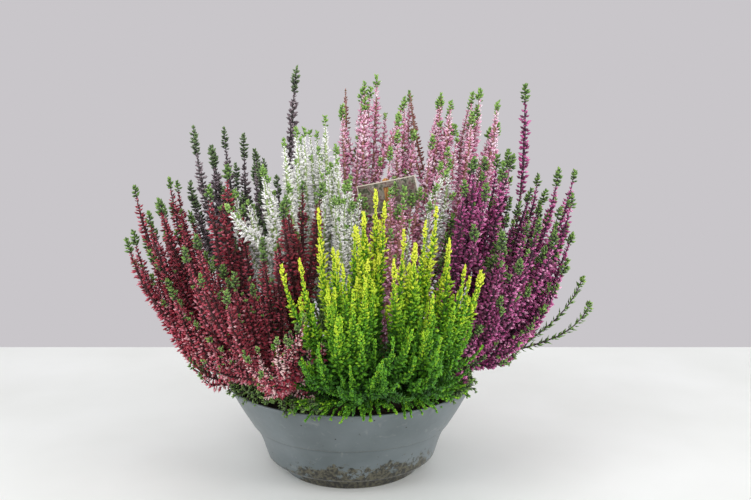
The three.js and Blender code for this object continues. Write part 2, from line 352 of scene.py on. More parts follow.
class Surface(Graph):
    """A material in the making."""

    def __init__(self, name: str) -> None:
        """Starts the material with its shader.

        Args:
            name: The material's name.
        """
        self.material = bpy.data.materials.new(name)
        self.material.use_nodes = True
        super().__init__(self.material.node_tree)
        self.tree.nodes.clear()
        self.shader = self.add("ShaderNodeBsdfPrincipled")
        self.add("ShaderNodeOutputMaterial", {"Surface": self.shader})

    def place(self) -> bpy.types.NodeSocket:
        """Object coordinates."""
        return self.add("ShaderNodeTexCoord").outputs["Object"]

    def carried(self, name: str) -> bpy.types.NodeSocket:
        """A number that the mesh carries under a name."""
        return self.add("ShaderNodeAttribute", attribute_name=name).outputs["Fac"]

    def noise(
        self, size: float, detail: float = 2.0, vector: object = None, **more: float
    ) -> bpy.types.Node:
        """Adds noise.

        Args:
            size: Its patches' size in millimetres.
            detail: How many times it is broken up finer.
            vector: Where it is taken, or none for Object coordinates.
            more: Other inputs by name.

        Returns:
            The noise's node.
        """
        where = self.place() if vector is None else vector
        inputs = {"Vector": where, "Scale": 1 / (size * MM), "Detail": detail, **more}
        return self.add("ShaderNodeTexNoise", inputs)

    def ramp(
        self, factor: object, colours: tuple[str, ...], stops: tuple[float, ...] = ()
    ) -> bpy.types.Node:
        """Adds a colour ramp.

        Args:
            factor: What feeds the ramp.
            colours: Hex colours, from the ramp's start to its end.
            stops: Their places, or none to space them evenly.

        Returns:
            The ramp's node.
        """
        node = self.add("ShaderNodeValToRGB", {"Fac": factor})
        elements = node.color_ramp.elements
        while len(elements) < len(colours):
            elements.new(0.5)
        places = stops or tuple(i / (len(colours) - 1) for i in range(len(colours)))
        for element, place, colour in zip(elements, places, colours, strict=True):
            element.position = place
            element.color = linear(colour)
        return node

    def blend(self, share: object, first: object, second: object) -> bpy.types.Node:
        """Mixes two colours.

        Args:
            share: How much of the second colour shows.
            first: What feeds the first.
            second: A hex colour, or what feeds the second.

        Returns:
            The mixed colour's node.
        """
        colour = linear(second) if isinstance(second, str) else second
        return self.add(
            "ShaderNodeMix", {"Factor": share, "A": first, "B": colour}, data_type="RGBA"
        )

    def finish(
        self, inputs: dict[str, object], bump: tuple[object, float, float] | None = None
    ) -> bpy.types.Material:
        """Gives the shader its values and links.

        Args:
            inputs: By the shader's socket names, values and what feeds them.
            bump: What raises the surface, how strongly, and how far in millimetres.

        Returns:
            The finished material.
        """
        if bump:
            height, strength, depth = bump
            raised = {"Height": height, "Strength": strength, "Distance": depth * MM}
            inputs = {**inputs, "Normal": self.add("ShaderNodeBump", raised)}
        self.feed(self.shader, inputs)
        return self.material


@dataclass(frozen=True)
class MouldedPolypropylene:
    """Polypropylene, injection moulded with a fine matt texture, and used: a low even sheen,
    faint scuffs and dried splashes of soil low on the wall."""

    body: str = "#525b5d"
    worn: str = "#677073"
    dust: str = "#8a8e8c"
    soil: str = "#1b170f"
    dried: str = "#524e3b"
    roughness: float = 0.5
    polish: Span = (-0.06, 0.12)  # what scuffs take from the roughness and add to it
    ior: float = 1.49  # of polypropylene
    dusty: float = 0.17  # the sheen of fine dust, seen along the wall
    dust_roughness: float = 0.35
    cloud_mm: float = 40.0
    clouds: Span = (0.35, 0.75)  # noise values that are all body and all worn
    scuff_mm: float = 9.0
    scuffs: Span = (0.6, 0.75)  # noise values where a scuff starts and where it is full
    scuff_dust: float = 0.35  # how much dust lies in one
    texture_mm: float = 0.5  # the mould's grain, drawn coarser than its 0.05 mm so that it shows
    grain_mm: float = 0.05  # how high it stands
    texture_bump: float = 0.12
    speck_mm: float = 7.0  # between stray specks of soil
    speck_size: Span = (0.1, 0.07)  # its edge and its full part, in cells
    speck_share: Span = (0.62, 0.68)  # cell values under which there is none, and over which one
    splash_mm: float = 6.5
    splash_cover: Span = (0.655, 0.7)  # sums of noise and place where soil starts and is full
    splash_most: float = 0.92
    splash_low: float = 0.15  # what the foot adds to the noise
    splash_front: float = 0.17  # what the front adds to it
    splash_top_mm: float = 30.0
    splash_foot_mm: float = 3.0
    splash_ends_mm: Span = (36.0, 17.0)  # where splashes stop, and where they are all there
    splashed: Point = (0.24, -0.88, 0.0)  # the side with most of them
    splash_sides: Span = (0.4, 0.8)  # how far a wall faces it where splashes start, and are full
    crumb_mm: float = 2.4
    crumbs: Span = (0.42, 0.6)  # noise values that are all soil and all dried
    # heights of the lines of dirt and painted shade in the ledge's and groove's creases
    ledge_mm: float = 12.6
    groove_mm: float = 37.6
    line_mm: Span = (0.3, 0.9)  # half the thickness of a line of dirt and painted crease shade, full and at its edge
    line_breaks: Span = (0.42, 0.62)  # noise values where a line is thin and where it is full
    line_cover: Span = (0.25, 0.8)  # how much of it shows there

    def material(self) -> bpy.types.Material:
        """Builds the material.

        Returns:
            The material.
        """
        surface = Surface("moulded_polypropylene_grey_blue")
        scuffs = surface.noise(self.scuff_mm, detail=6.0, Distortion=1.5)
        clouds = surface.noise(self.cloud_mm, detail=4.0)
        crumbs = surface.noise(self.crumb_mm, detail=5.0)
        shade = surface.ramp(clouds, (self.body, self.worn), self.clouds)
        dusted = surface.scaled(scuffs, *self.scuffs, high=self.scuff_dust)
        wall = surface.blend(dusted, shade, self.dust)
        crust = surface.ramp(crumbs, (self.soil, self.dried), self.crumbs)
        soiled = surface.blend(self.splashes(surface), wall, crust)
        cells = {"Vector": surface.place(), "Scale": 1 / (self.speck_mm * MM), "Randomness": 1.0}
        specks = surface.add("ShaderNodeTexVoronoi", cells).outputs
        speck = surface.scaled(specks["Distance"], *self.speck_size)
        sparse = surface.scaled(specks["Color"], *self.speck_share)
        least, most = (self.roughness + change for change in self.polish)
        return surface.finish(
            {
                "Base Color": surface.blend(
                    surface.maths("MULTIPLY", speck, sparse), soiled, self.soil
                ),
                "Roughness": surface.scaled(scuffs, 0.0, 1.0, low=least, high=most),
                "IOR": self.ior,
                "Sheen Weight": self.dusty, "Sheen Roughness": self.dust_roughness,
            },
            bump=(surface.noise(self.texture_mm), self.texture_bump, self.grain_mm),
        )

    def splashes(self, surface: Surface) -> bpy.types.Node:
        """Where dried soil sticks, in blotches low down and mostly on the front, and where lines of
        dirt and painted shade darken the ledge's and groove's creases.

        Args:
            surface: The material in the making.

        Returns:
            The node whose result is one on soil.
        """
        place = surface.place()
        height = surface.axes(place)["Z"]
        blotches = surface.noise(self.splash_mm, detail=8.0, Roughness=0.72)
        top, foot = self.splash_top_mm * MM, self.splash_foot_mm * MM
        low = surface.scaled(height, top, foot, high=self.splash_low, smooth=True)
        outward = surface.vector("NORMALIZE", {0: place})
        towards = surface.vector("DOT_PRODUCT", {0: outward, 1: self.splashed})
        facing = surface.scaled(towards, *self.splash_sides, high=self.splash_front, smooth=True)
        end, start = (z * MM for z in self.splash_ends_mm)
        ending = surface.scaled(height, end, start, smooth=True)
        reach = surface.maths("MULTIPLY", surface.maths("ADD", low, facing), ending)
        level = surface.maths("ADD", blotches, reach)
        patches = surface.scaled(level, *self.splash_cover, high=self.splash_most)
        broken = surface.scaled(blotches, *self.line_breaks, *self.line_cover)
        solid, edge = (t * MM for t in self.line_mm)
        # lines of dirt and painted shade in the ledge's and groove's creases
        for line in (self.ledge_mm, self.groove_mm):
            away = surface.maths("ABSOLUTE", surface.maths("SUBTRACT", height, line * MM))
            near = surface.scaled(away, solid, edge, low=1.0, high=0.0)
            dirt_and_crease_shade = surface.maths("MULTIPLY", near, broken)
            patches = surface.maths("MAXIMUM", patches, dirt_and_crease_shade)
        return patches


@dataclass(frozen=True)
class PeatCompost:
    """Peat potting compost with bark fines: dull, dark brown and crumbly, with pale fibres."""

    dark: str = "#1c1510"
    middle: str = "#37291d"
    fibre: str = "#6d5638"
    stops: tuple[float, ...] = (0.35, 0.6, 0.78)  # noise values of the three
    crumb_mm: float = 1.8
    lump_mm: float = 0.8  # how high crumbs stand
    bump: float = 0.8
    roughness: float = 0.95
    ior: float = 1.4

    def material(self) -> bpy.types.Material:
        """Builds the material.

        Returns:
            The material.
        """
        surface = Surface("peat_compost")
        crumbs = surface.noise(self.crumb_mm, detail=6.0, Roughness=0.7)
        colour = surface.ramp(crumbs, (self.dark, self.middle, self.fibre), self.stops)
        return surface.finish(
            {"Base Color": colour, "Roughness": self.roughness, "IOR": self.ior},
            bump=(crumbs, self.bump, self.lump_mm),
        )


@dataclass(frozen=True)
class ShootBark:
    """The bark of young heather shoots: smooth and of the bracts' colour where they press against
    it among the flowers, a colour that also stands for the painted shade between the buds, then
    brown and matt where it has ripened."""

    name: str
    # the bracts' colour among the flowers, which also stands for painted shade between the buds
    young: str = "#7a9448"
    ripe: str = "#6d5a3c"
    woody: str = "#4a3a2a"
    stops: tuple[float, ...] = (0.5, 0.75, 1.0)  # ages of the three
    roughness: float = 0.65
    ior: float = 1.45

    def material(self) -> bpy.types.Material:
        """Builds the material.

        Returns:
            The material.
        """
        surface = Surface(self.name)
        colours = (self.young, self.ripe, self.woody)
        colour = surface.ramp(surface.carried("along"), colours, self.stops)
        return surface.finish({"Base Color": colour, "Roughness": self.roughness, "IOR": self.ior})


@dataclass(frozen=True)
class PlantTissue:
    """Papery sepals or leathery scale leaves: softly matt, a little paler along the tip, partly
    their own colour and partly a painted highlight, and green or brown at the foot, partly their
    own colour and partly painted shade where they meet the stem. Each organ has its own shade
    from the palette."""

    name: str
    palette: tuple[str, ...]
    foot: str
    foot_share: float = 0.3
    tip: str | None = None
    tip_share: float = 0.25
    tip_most: float = 0.7  # how much of the tip's colour shows at its very end
    roughness: float = 0.55
    ior: float = 1.42  # of leaf cuticle
    sheen: float = 0.15
    glow: float = 0.0  # how far light passes through it, as through thin paper
    glow_mm: float = 1.5

    def material(self) -> bpy.types.Material:
        """Builds the material.

        Returns:
            The material.
        """
        surface = Surface(self.name)
        along = surface.carried("along")
        shade = surface.ramp(surface.carried("tint"), self.palette)
        # painted shade at the organ's foot, mixed into its own green or brown there
        rooted = surface.scaled(along, 0.0, self.foot_share, low=1.0, high=0.0)
        colour = surface.blend(rooted, shade, self.foot)
        # painted highlight along the tip, mixed into its own paler colour there
        if self.tip:
            ending = surface.scaled(along, 1 - self.tip_share, 1.0, high=self.tip_most)
            colour = surface.blend(ending, colour, self.tip)
        return surface.finish({
            "Base Color": colour, "Roughness": self.roughness, "IOR": self.ior,
            "Sheen Weight": self.sheen, "Subsurface Weight": self.glow,
            "Subsurface Radius": (1.0, 1.0, 1.0), "Subsurface Scale": self.glow_mm * MM,
        })


@dataclass(frozen=True)
class SawnPine:
    """Pine, sawn into a flat plant stake and left bare: a straight grain along its length,
    darker late wood, and stained where it has stood in wet soil."""

    early: str = "#d09a58"
    late: str = "#9c6230"
    stained: str = "#6e4a28"
    wood: Span = (0.38, 0.58)  # noise values that are all late and all early wood
    ring_mm: float = 1.1  # between growth rings
    stretch: float = 0.06  # of the grain, against its width
    wet_mm: Span = (95.0, 60.0)  # heights where the stain starts and where it is full
    wet_most: float = 0.8
    grain_mm: float = 0.1  # how high the grain stands
    grain_bump: float = 0.4
    roughness: float = 0.7
    ior: float = 1.5

    def material(self) -> bpy.types.Material:
        """Builds the material.

        Returns:
            The material.
        """
        surface = Surface("sawn_pine")
        place = surface.place()
        grain = {"Vector": place, "Scale": (1.0, 1.0, self.stretch)}
        stretched = surface.add("ShaderNodeMapping", grain)
        rings = surface.noise(self.ring_mm, detail=3.0, vector=stretched)
        wood = surface.ramp(rings, (self.late, self.early), self.wood)
        start, full = (z * MM for z in self.wet_mm)
        wet = surface.scaled(surface.axes(place)["Z"], start, full, high=self.wet_most)
        colour = surface.blend(wet, wood, self.stained)
        return surface.finish(
            {"Base Color": colour, "Roughness": self.roughness, "IOR": self.ior},
            bump=(rings, self.grain_bump, self.grain_mm),
        )


@dataclass(frozen=True)
class CoatedCard:
    """Card with a thin glossy coat, printed with a blank soft mottle in garden colours, and
    spotted by watering. The cut edge is bare cream board."""

    colours: tuple[str, ...] = ("#33352a", "#5e5f48", "#8f877a", "#6c4a4a", "#4c5a3c")
    stops: tuple[float, ...] = (0.3, 0.42, 0.5, 0.6, 0.7)  # noise values of the colours
    board: str = "#ddd3c4"
    fibre: str = "#b9a48f"
    fibres: Span = (0.3, 0.6)  # noise values that are all fibre and all board
    blotch_mm: float = 4.5
    spot_mm: float = 1.5
    spots: Span = (0.62, 0.72)  # noise values where a spot starts and where it is full
    spot_most: float = 0.5
    fibre_mm: float = 0.6
    margin_mm: Span = (0.7, 0.8)  # where the unprinted margin ends, along the edges
    cockle_mm: float = 0.05  # how high a spot stands
    cockle_bump: float = 0.15
    roughness: float = 0.42
    edge_roughness: float = 0.8
    ior: float = 1.5

    def material(self) -> bpy.types.Material:
        """Builds the printed face's material.

        Returns:
            The material.
        """
        surface = Surface("coated_card_mottled")
        blotches = surface.noise(self.blotch_mm, detail=3.0, Distortion=0.8)
        printed = surface.ramp(blotches, self.colours, self.stops)
        spots = surface.noise(self.spot_mm)
        spotting = surface.scaled(spots, *self.spots, high=self.spot_most)
        spotted = surface.blend(spotting, printed, self.board)
        bare, inside = (edge * MM for edge in self.margin_mm)
        margin = surface.scaled(surface.carried("from_edge"), inside, bare)
        colour = surface.blend(margin, spotted, self.board)
        return surface.finish(
            {"Base Color": colour, "Roughness": self.roughness, "IOR": self.ior},
            bump=(spots, self.cockle_bump, self.cockle_mm),
        )

    def edge(self) -> bpy.types.Material:
        """Builds the cut edge's material.

        Returns:
            The material.
        """
        surface = Surface("card_cut_edge")
        fibres = surface.noise(self.fibre_mm)
        colour = surface.ramp(fibres, (self.fibre, self.board), self.fibres)
        return surface.finish({"Base Color": colour, "Roughness": self.edge_roughness})


@dataclass(frozen=True)
class PaintedBoard:
    """Board painted flat white, faintly uneven, that the studio's table is made of."""

    light: str = "#eef1ee"
    shade: str = "#e6e9e5"
    cloud_mm: float = 150.0
    clouds: Span = (0.3, 0.7)  # noise values that are all shade and all light
    roughness: float = 0.75

    def material(self) -> bpy.types.Material:
        """Builds the material.

        Returns:
            The material.
        """
        surface = Surface("painted_board")
        clouds = surface.noise(self.cloud_mm, detail=3.0)
        colour = surface.ramp(clouds, (self.shade, self.light), self.clouds)
        return surface.finish({"Base Color": colour, "Roughness": self.roughness})


# ---------------------------------------------------------------------------
# Geometry Nodes trees
# ---------------------------------------------------------------------------


class Strip(Enum):
    """The strip of a spray's colour map that each kind of organ is laid out in: its foot and
    its height. Organs of one shade lie on each other there, as they look alike."""

    BUD = (0.02, 0.46)
    LEAF = (0.52, 0.26)
    BARK = (0.82, 0.16)


def grow_on(piece: bpy.types.Object, tree: bpy.types.NodeTree, values: dict[str, object]) -> None:
    """Adds a tree to a piece as a modifier and sets its inputs by their identifiers.

    Args:
        piece: The piece.
        tree: The Geometry Nodes tree.
        values: The inputs' values by name.
    """
    modifier = piece.modifiers.new(tree.name, "NODES")
    modifier.node_group = tree
    for item in tree.interface.items_tree:
        if item.item_type == "SOCKET" and item.in_out == "INPUT" and item.name in values:
            modifier[item.identifier] = values[item.name]


class GrowthTree(Graph):
    """A Geometry Nodes tree in the making, whose inputs have names."""

    def __init__(self, name: str, floats: tuple[str, ...], **others: str) -> None:
        """Makes the tree with a Material input, and a Geometry input and output.

        Args:
            name: The tree's name.
            floats: The names of its inputs that are numbers.
            others: The kinds of its other inputs, by their names with underscores.
        """
        super().__init__(bpy.data.node_groups.new(name, "GeometryNodeTree"))
        sockets = {"Geometry": "Geometry", **dict.fromkeys(floats, "Float"), "Material": "Material"}
        sockets.update({label.replace("_", " "): kind for label, kind in others.items()})
        interface = self.tree.interface
        for label, kind in sockets.items():
            interface.new_socket(label, in_out="INPUT", socket_type=f"NodeSocket{kind}")
        interface.new_socket("Geometry", in_out="OUTPUT", socket_type="NodeSocketGeometry")
        self.given = self.add("NodeGroupInput").outputs

    def carried(self, name: object, kind: str = "FLOAT") -> bpy.types.NodeSocket:
        """What the geometry carries under a name.

        Args:
            name: The name.
            kind: What kind of value it is.

        Returns:
            The value's socket.
        """
        node = self.add("GeometryNodeInputNamedAttribute", {"Name": name}, data_type=kind)
        return live(node.outputs, "Attribute")

    def store(
        self, geometry: object, name: str, value: object, domain: str = "POINT", kind: str = "FLOAT"
    ) -> bpy.types.Node:
        """Stores a value on the geometry under a name.

        Args:
            geometry: The geometry.
            name: The name.
            value: The value.
            domain: What carries it.
            kind: What kind of value it is.

        Returns:
            The node that gives the geometry.
        """
        inputs = {"Geometry": geometry, "Name": name, "Value": value}
        return self.add(
            "GeometryNodeStoreNamedAttribute", inputs, data_type=kind, domain=domain
        )

    def store_map(self, geometry: object, value: object) -> bpy.types.Node:
        """Stores the colour map on the geometry."""
        return self.store(geometry, BAKE_MAP, value, "CORNER", "FLOAT2")

    def chance(self, low: object, high: object, draw: int) -> bpy.types.Node:
        """A random number for each element.

        Args:
            low: The least that it is.
            high: The most that it is.
            draw: Added to the tree's seed, so that no two draws go together.

        Returns:
            The node that gives it.
        """
        seed = self.maths("ADD", self.given["Seed"], float(draw))
        inputs = {"Min": low, "Max": high, "Seed": seed}
        return self.add("FunctionNodeRandomValue", inputs, data_type="FLOAT")

    def combined(self, **axes: object) -> bpy.types.Node:
        """A vector of an X, Y and Z, or those of them that aren't nought."""
        return self.add("ShaderNodeCombineXYZ", axes)

    def euler(self, angles: object) -> bpy.types.Node:
        """A rotation by angles about X, Y and Z."""
        return self.add("FunctionNodeEulerToRotation", {"Euler": angles})

    def coated(self, geometry: object) -> bpy.types.Node:
        """Gives the geometry its material."""
        inputs = {"Geometry": geometry, "Material": self.given["Material"]}
        return self.add("GeometryNodeSetMaterial", inputs)

    def joined(self, *parts: object) -> bpy.types.Node:
        """Joins geometries.

        Args:
            parts: The geometries.

        Returns:
            The node that gives them as one.
        """
        node = self.add("GeometryNodeJoinGeometry")
        for part in parts:
            self.feed(node, {0: part})
        return node

    def ended(self, geometry: object) -> bpy.types.NodeTree:
        """Gives the geometry out, and the finished tree back."""
        self.add("NodeGroupOutput", {"Geometry": geometry})
        return self.tree


class ShootTree(GrowthTree):
    """A tree that works along the shoots' lines, which are the mesh's edges with no face."""

    def lone_edges(self) -> bpy.types.Node:
        """Picks the edges with no face."""
        inputs = {"A": self.add("GeometryNodeInputMeshEdgeNeighbors"), "B": 0}
        return self.add("FunctionNodeCompare", inputs, data_type="INT", operation="EQUAL")

    def lines(self) -> bpy.types.Node:
        """The shoots' lines as curves."""
        inputs = {"Mesh": self.given["Geometry"], "Selection": self.lone_edges()}
        return self.add("GeometryNodeMeshToCurve", inputs)

    def lay_out(self, geometry: object, tint: object) -> bpy.types.Node:
        """Moves each organ's map to its shade's column of its kind's strip.

        Args:
            geometry: The organs' geometry.
            tint: The organ's shade, from nought to one.

        Returns:
            The node that gives the geometry with its map.
        """
        uv = self.axes(self.carried(BAKE_MAP, "FLOAT_VECTOR"))
        middle = self.maths("SUBTRACT", uv["X"], 0.5)
        across = self.maths("MULTIPLY", middle, COLUMN_FILL / TINT_STEPS)
        height, foot = self.given["Strip Height"], self.given["Strip Foot"]
        up = self.maths("MULTIPLY_ADD", uv["Y"], height, foot)
        return self.store_map(geometry, self.combined(X=self.maths("ADD", tint, across), Y=up))


class OrganTree(ShootTree):
    """The tree that sets whorls of buds or leaves along the shoots."""

    SLIP = 0.5  # how far an organ strays along the stem, in whorls
    STRAY = 0.3  # how far round it, in radians
    SIZES = (0.82, 1.16)  # the least and the most of its size
    LAST_SIZE = 0.55  # of the organs where their zone ends
    TOP_SHADE = 0.999  # just under one, so that it is still in the last step

    def __init__(self) -> None:
        """Makes the tree with its inputs."""
        floats = (
            "Pitch", "Twist", "Length", "Width", "Thickness", "Fullness", "Curl", "Start Spread",
            "Full Spread", "Ramp", "Small", "Fade", "Loose", "Shade", "Toned", "Shade Fall",
            "Shade Range", "Strip Foot", "Strip Height",
        )
        super().__init__(
            "organ_whorls", floats, Per_Whorl="Int", Seed="Int", Zone_Start="String",
            Zone_End="String",
        )

    def organ(self) -> bpy.types.Node:
        """One organ: a spindle along Z from its foot at the origin, curled towards -X.

        Returns:
            The node that gives the organ's mesh.
        """
        given, maths = self.given, self.maths
        sizes = {"Segments": 3, "Rings": 2, "Radius": 1.0}
        ball = self.add("GeometryNodeMeshUVSphere", sizes).outputs
        mapped = self.store_map(ball["Mesh"], live(ball, "UV Map"))
        axes = self.axes(self.add("GeometryNodeInputPosition"))
        marked = self.store(mapped, "along", maths("MULTIPLY_ADD", axes["Z"], 0.5, 0.5))
        up = maths("POWER", self.carried("along"), given["Fullness"])
        thick = maths("MULTIPLY", given["Thickness"], 0.5)
        wide = maths("MULTIPLY", given["Width"], 0.5)
        bend = maths("MULTIPLY", given["Curl"], maths("MULTIPLY", up, up))
        shape = self.combined(
            X=maths("SUBTRACT", maths("MULTIPLY", axes["X"], thick), bend),
            Y=maths("MULTIPLY", axes["Y"], wide), Z=maths("MULTIPLY", up, given["Length"]),
        )
        shaped = self.add("GeometryNodeSetPosition", {"Geometry": marked, "Position": shape})
        return self.add("GeometryNodeSetShadeSmooth", {0: shaped})

    def rotation(self, tangent: object, number: object, grown: object) -> bpy.types.Node:
        """How each organ stands: round the stem by its place in the whorl, and out from it.

        Args:
            tangent: The stem's direction.
            number: The organ's number in its whorl.
            grown: How far the organ has opened, from nought to one.

        Returns:
            The node that gives the rotation.
        """
        given, maths = self.given, self.maths
        turn = maths("MULTIPLY", maths("DIVIDE", number, given["Per Whorl"]), 2 * math.pi)
        turn = maths("ADD", turn, maths("MULTIPLY", self.carried("whorl"), given["Twist"]))
        turn = maths("ADD", turn, self.chance(-self.STRAY, self.STRAY, 2))
        opening = maths("SUBTRACT", given["Full Spread"], given["Start Spread"])
        out = maths("ADD", given["Start Spread"], maths("MULTIPLY", opening, grown))
        loose, back = given["Loose"], maths("MULTIPLY", given["Loose"], -1.0)
        out = maths("ADD", out, self.chance(back, loose, 3))
        angles = self.combined(X=self.chance(back, loose, 4), Y=out, Z=turn)
        upright = self.add("FunctionNodeAlignRotationToVector", {"Vector": tangent}, axis="Z")
        inputs = {"Rotation": upright, "Rotate By": self.euler(angles)}
        return self.add("FunctionNodeRotateRotation", inputs, rotation_space="LOCAL")

    def size(self, grown: object, left: object) -> bpy.types.Node:
        """How big each organ is.

        Args:
            grown: How far it has opened, from nought to one.
            left: How far it stands from its zone's end.

        Returns:
            The node that gives its scale.
        """
        given, maths = self.given, self.maths
        rest = maths("SUBTRACT", 1.0, given["Small"])
        size = maths("ADD", given["Small"], maths("MULTIPLY", grown, rest))
        fading = self.scaled(left, 0.0, given["Fade"], self.LAST_SIZE)
        size = maths("MULTIPLY", size, maths("MULTIPLY", fading, self.carried("vigour")))
        return maths("MULTIPLY", size, self.chance(*self.SIZES, 0))

    def tint(self, depth: object) -> bpy.types.Node:
        """Each organ's shade, sorted into steps.

        Args:
            depth: How far it stands from its zone's start.

        Returns:
            The node that gives the middle of its step.
        """
        given, maths = self.given, self.maths
        toned = maths("MULTIPLY", self.carried("tone"), given["Toned"])
        shade = maths("ADD", given["Shade"], toned)
        shade = maths("ADD", shade, maths("MULTIPLY", depth, given["Shade Fall"]))
        lighter = given["Shade Range"]
        shade = maths("ADD", shade, self.chance(maths("MULTIPLY", lighter, -1.0), lighter, 1))
        shade = self.add("ShaderNodeClamp", {"Value": shade, "Max": self.TOP_SHADE})
        column = maths("FLOOR", maths("MULTIPLY", shade, float(TINT_STEPS)))
        return maths("DIVIDE", maths("ADD", column, 0.5), float(TINT_STEPS))

    def build(self) -> bpy.types.NodeTree:
        """Builds the tree.

        Returns:
            The tree.
        """
        given, maths = self.given, self.maths
        spaced = {"Curve": self.lines(), "Length": given["Pitch"]}
        points = self.add("GeometryNodeCurveToPoints", spaced, mode="LENGTH").outputs
        numbered = self.store(points["Points"], "whorl", self.add("GeometryNodeInputIndex"))
        start, end = self.carried(given["Zone Start"]), self.carried(given["Zone End"])
        from_tip = self.carried("from_tip")
        above, below = maths("LESS_THAN", from_tip, start), maths("GREATER_THAN", from_tip, end)
        unwanted = {"Geometry": numbered, "Selection": maths("ADD", above, below)}
        zone = self.add("GeometryNodeDeleteGeometry", unwanted, domain="POINT")
        whorls = {"Geometry": zone, "Amount": given["Per Whorl"]}
        copies = self.add("GeometryNodeDuplicateElements", whorls, domain="POINT").outputs
        slip = maths("MULTIPLY", self.chance(-self.SLIP, self.SLIP, 5), given["Pitch"])
        slipped = self.vector("SCALE", {"Vector": points["Tangent"], "Scale": slip})
        placed = self.add(
            "GeometryNodeSetPosition", {"Geometry": copies["Geometry"], "Offset": slipped}
        )
        depth = maths("SUBTRACT", from_tip, start)
        grown = self.scaled(depth, 0.0, given["Ramp"], smooth=True)
        set_out = self.add("GeometryNodeInstanceOnPoints", {
            "Points": placed, "Instance": self.organ(),
            "Rotation": self.rotation(points["Tangent"], copies["Duplicate Index"], grown),
            "Scale": self.size(grown, maths("SUBTRACT", end, from_tip)),
        })
        tinted = self.store(set_out, "tint", self.tint(depth), "INSTANCE")
        real = self.add("GeometryNodeRealizeInstances", {"Geometry": tinted})
        laid_out = self.lay_out(real, self.carried("tint"))
        return self.ended(self.joined(self.coated(laid_out), given["Geometry"]))


class StemTree(ShootTree):
    """The tree that sweeps round stems along the shoots, and ends the lines."""

    def __init__(self) -> None:
        """Makes the tree with its inputs."""
        super().__init__(
            "stem_sweep", ("Step", "Ripe Length", "Strip Foot", "Strip Height"), Sides="Int"
        )

    def build(self) -> bpy.types.NodeTree:
        """Builds the tree.

        Returns:
            The tree.
        """
        given = self.given
        steps = {"Curve": self.lines(), "Length": given["Step"]}
        stepped = self.add("GeometryNodeResampleCurve", steps, mode="LENGTH")
        round_profile = {"Resolution": given["Sides"], "Radius": 1.0}
        ring = self.add("GeometryNodeCurvePrimitiveCircle", round_profile, mode="RADIUS")
        marked = self.store(ring, "around", self.add("GeometryNodeSplineParameter"))
        swept = self.add("GeometryNodeCurveToMesh", {
            "Curve": stepped, "Profile Curve": marked, "Scale": self.carried("stem"),
            "Fill Caps": True,
        })
        age = self.maths("DIVIDE", self.carried("from_tip"), given["Ripe Length"])
        aged = self.store(swept, "along", self.add("ShaderNodeClamp", {"Value": age}))
        flat = self.combined(X=self.carried("around"), Y=self.carried("along"))
        laid_out = self.lay_out(self.store_map(aged, flat), 0.5)
        smooth = self.add("GeometryNodeSetShadeSmooth", {0: laid_out})
        real = self.add("GeometryNodeRealizeInstances", {"Geometry": self.coated(smooth)})
        faced = self.add(
            "GeometryNodeDeleteGeometry",
            {"Geometry": given["Geometry"], "Selection": self.lone_edges()}, domain="EDGE",
        )
        return self.ended(self.joined(real, faced))


class CrumbTree(GrowthTree):
    """The tree that lifts a peat surface into lumps and strews crumbs on its top."""

    LEVEL = 0.62  # the noise's value where the surface stays
    FLAT = 0.75  # how far up the surface has to face to hold crumbs
    CRUMBS = ((0.4, 0.4, 0.3), (2.2, 1.2, 0.8))  # the least and the most of their half sizes
    TURNS = ((-0.5, -0.5, 0.0), (0.5, 0.5, 6.28))  # how they lie, in radians
    TURN_SEED = 3

    def __init__(self) -> None:
        """Makes the tree with its inputs."""
        super().__init__("peat_crumbs", ("Density", "Lump", "Lump Size"), Seed="Int")

    def vary(self, least: Point, most: Point, seed: int) -> bpy.types.Node:
        """A random vector for each crumb.

        Args:
            least: The least of its X, Y and Z.
            most: The most of them.
            seed: Of the random numbers.

        Returns:
            The node that gives it.
        """
        inputs = {"Min": least, "Max": most, "Seed": seed}
        return self.add("FunctionNodeRandomValue", inputs, data_type="FLOAT_VECTOR")

    def build(self) -> bpy.types.NodeTree:
        """Builds the tree.

        Returns:
            The tree.
        """
        given, maths = self.given, self.maths
        lumps = self.add("ShaderNodeTexNoise", {"Scale": given["Lump Size"], "Detail": 3.0})
        height = maths("MULTIPLY", maths("SUBTRACT", lumps, self.LEVEL), given["Lump"])
        normal = self.add("GeometryNodeInputNormal")
        lift = self.vector("SCALE", {"Vector": normal, "Scale": height})
        lumpy = self.add(
            "GeometryNodeSetPosition", {"Geometry": given["Geometry"], "Offset": lift}
        )
        top = maths("GREATER_THAN", self.axes(normal)["Z"], self.FLAT)
        strewn = self.add("GeometryNodeDistributePointsOnFaces", {
            "Mesh": lumpy, "Selection": top, "Density": given["Density"], "Seed": given["Seed"],
        })
        sizes = (tuple(side * MM for side in sides) for sides in self.CRUMBS)
        set_out = self.add("GeometryNodeInstanceOnPoints", {
            "Points": strewn,
            "Instance": self.add("GeometryNodeMeshIcoSphere", {"Radius": 1.0, "Subdivisions": 1}),
            "Rotation": self.euler(self.vary(*self.TURNS, self.TURN_SEED)),
            "Scale": self.vary(*sizes, 0),
        })
        real = self.add("GeometryNodeRealizeInstances", {"Geometry": set_out})
        return self.ended(self.coated(self.joined(real, lumpy)))


# ---------------------------------------------------------------------------
# Shoots
# ---------------------------------------------------------------------------

WITHERED_TONE = -1.0  # a dried-up shoot has the palette's first colour
WITHERED_SIZE = 0.7
FADED_TONE = 0.4  # how much paler faded flowers are
FADED_SIZE = 0.72
DRY_TONE = 0.55  # the leaves of a twig that has lost its flowers
DEEP_TONE = -0.32
LEADER_RISE = (0.16, 0.5)  # how far up its way a leader's two handles are
HANDLES = (0.3, 0.4)  # lengths of a side shoot's, against its own
UPRIGHT = (0.3, 0.2)  # how far its end leans outwards, and how much steeper it is than its way
LEVEL_RISE = 10.0  # under which a side shoot lies level, or droops if it doesn't rise at all
LEVEL = (0.9, 0.43)  # how far its end then runs outwards, and up
DROOPING = (0.6, -0.8)


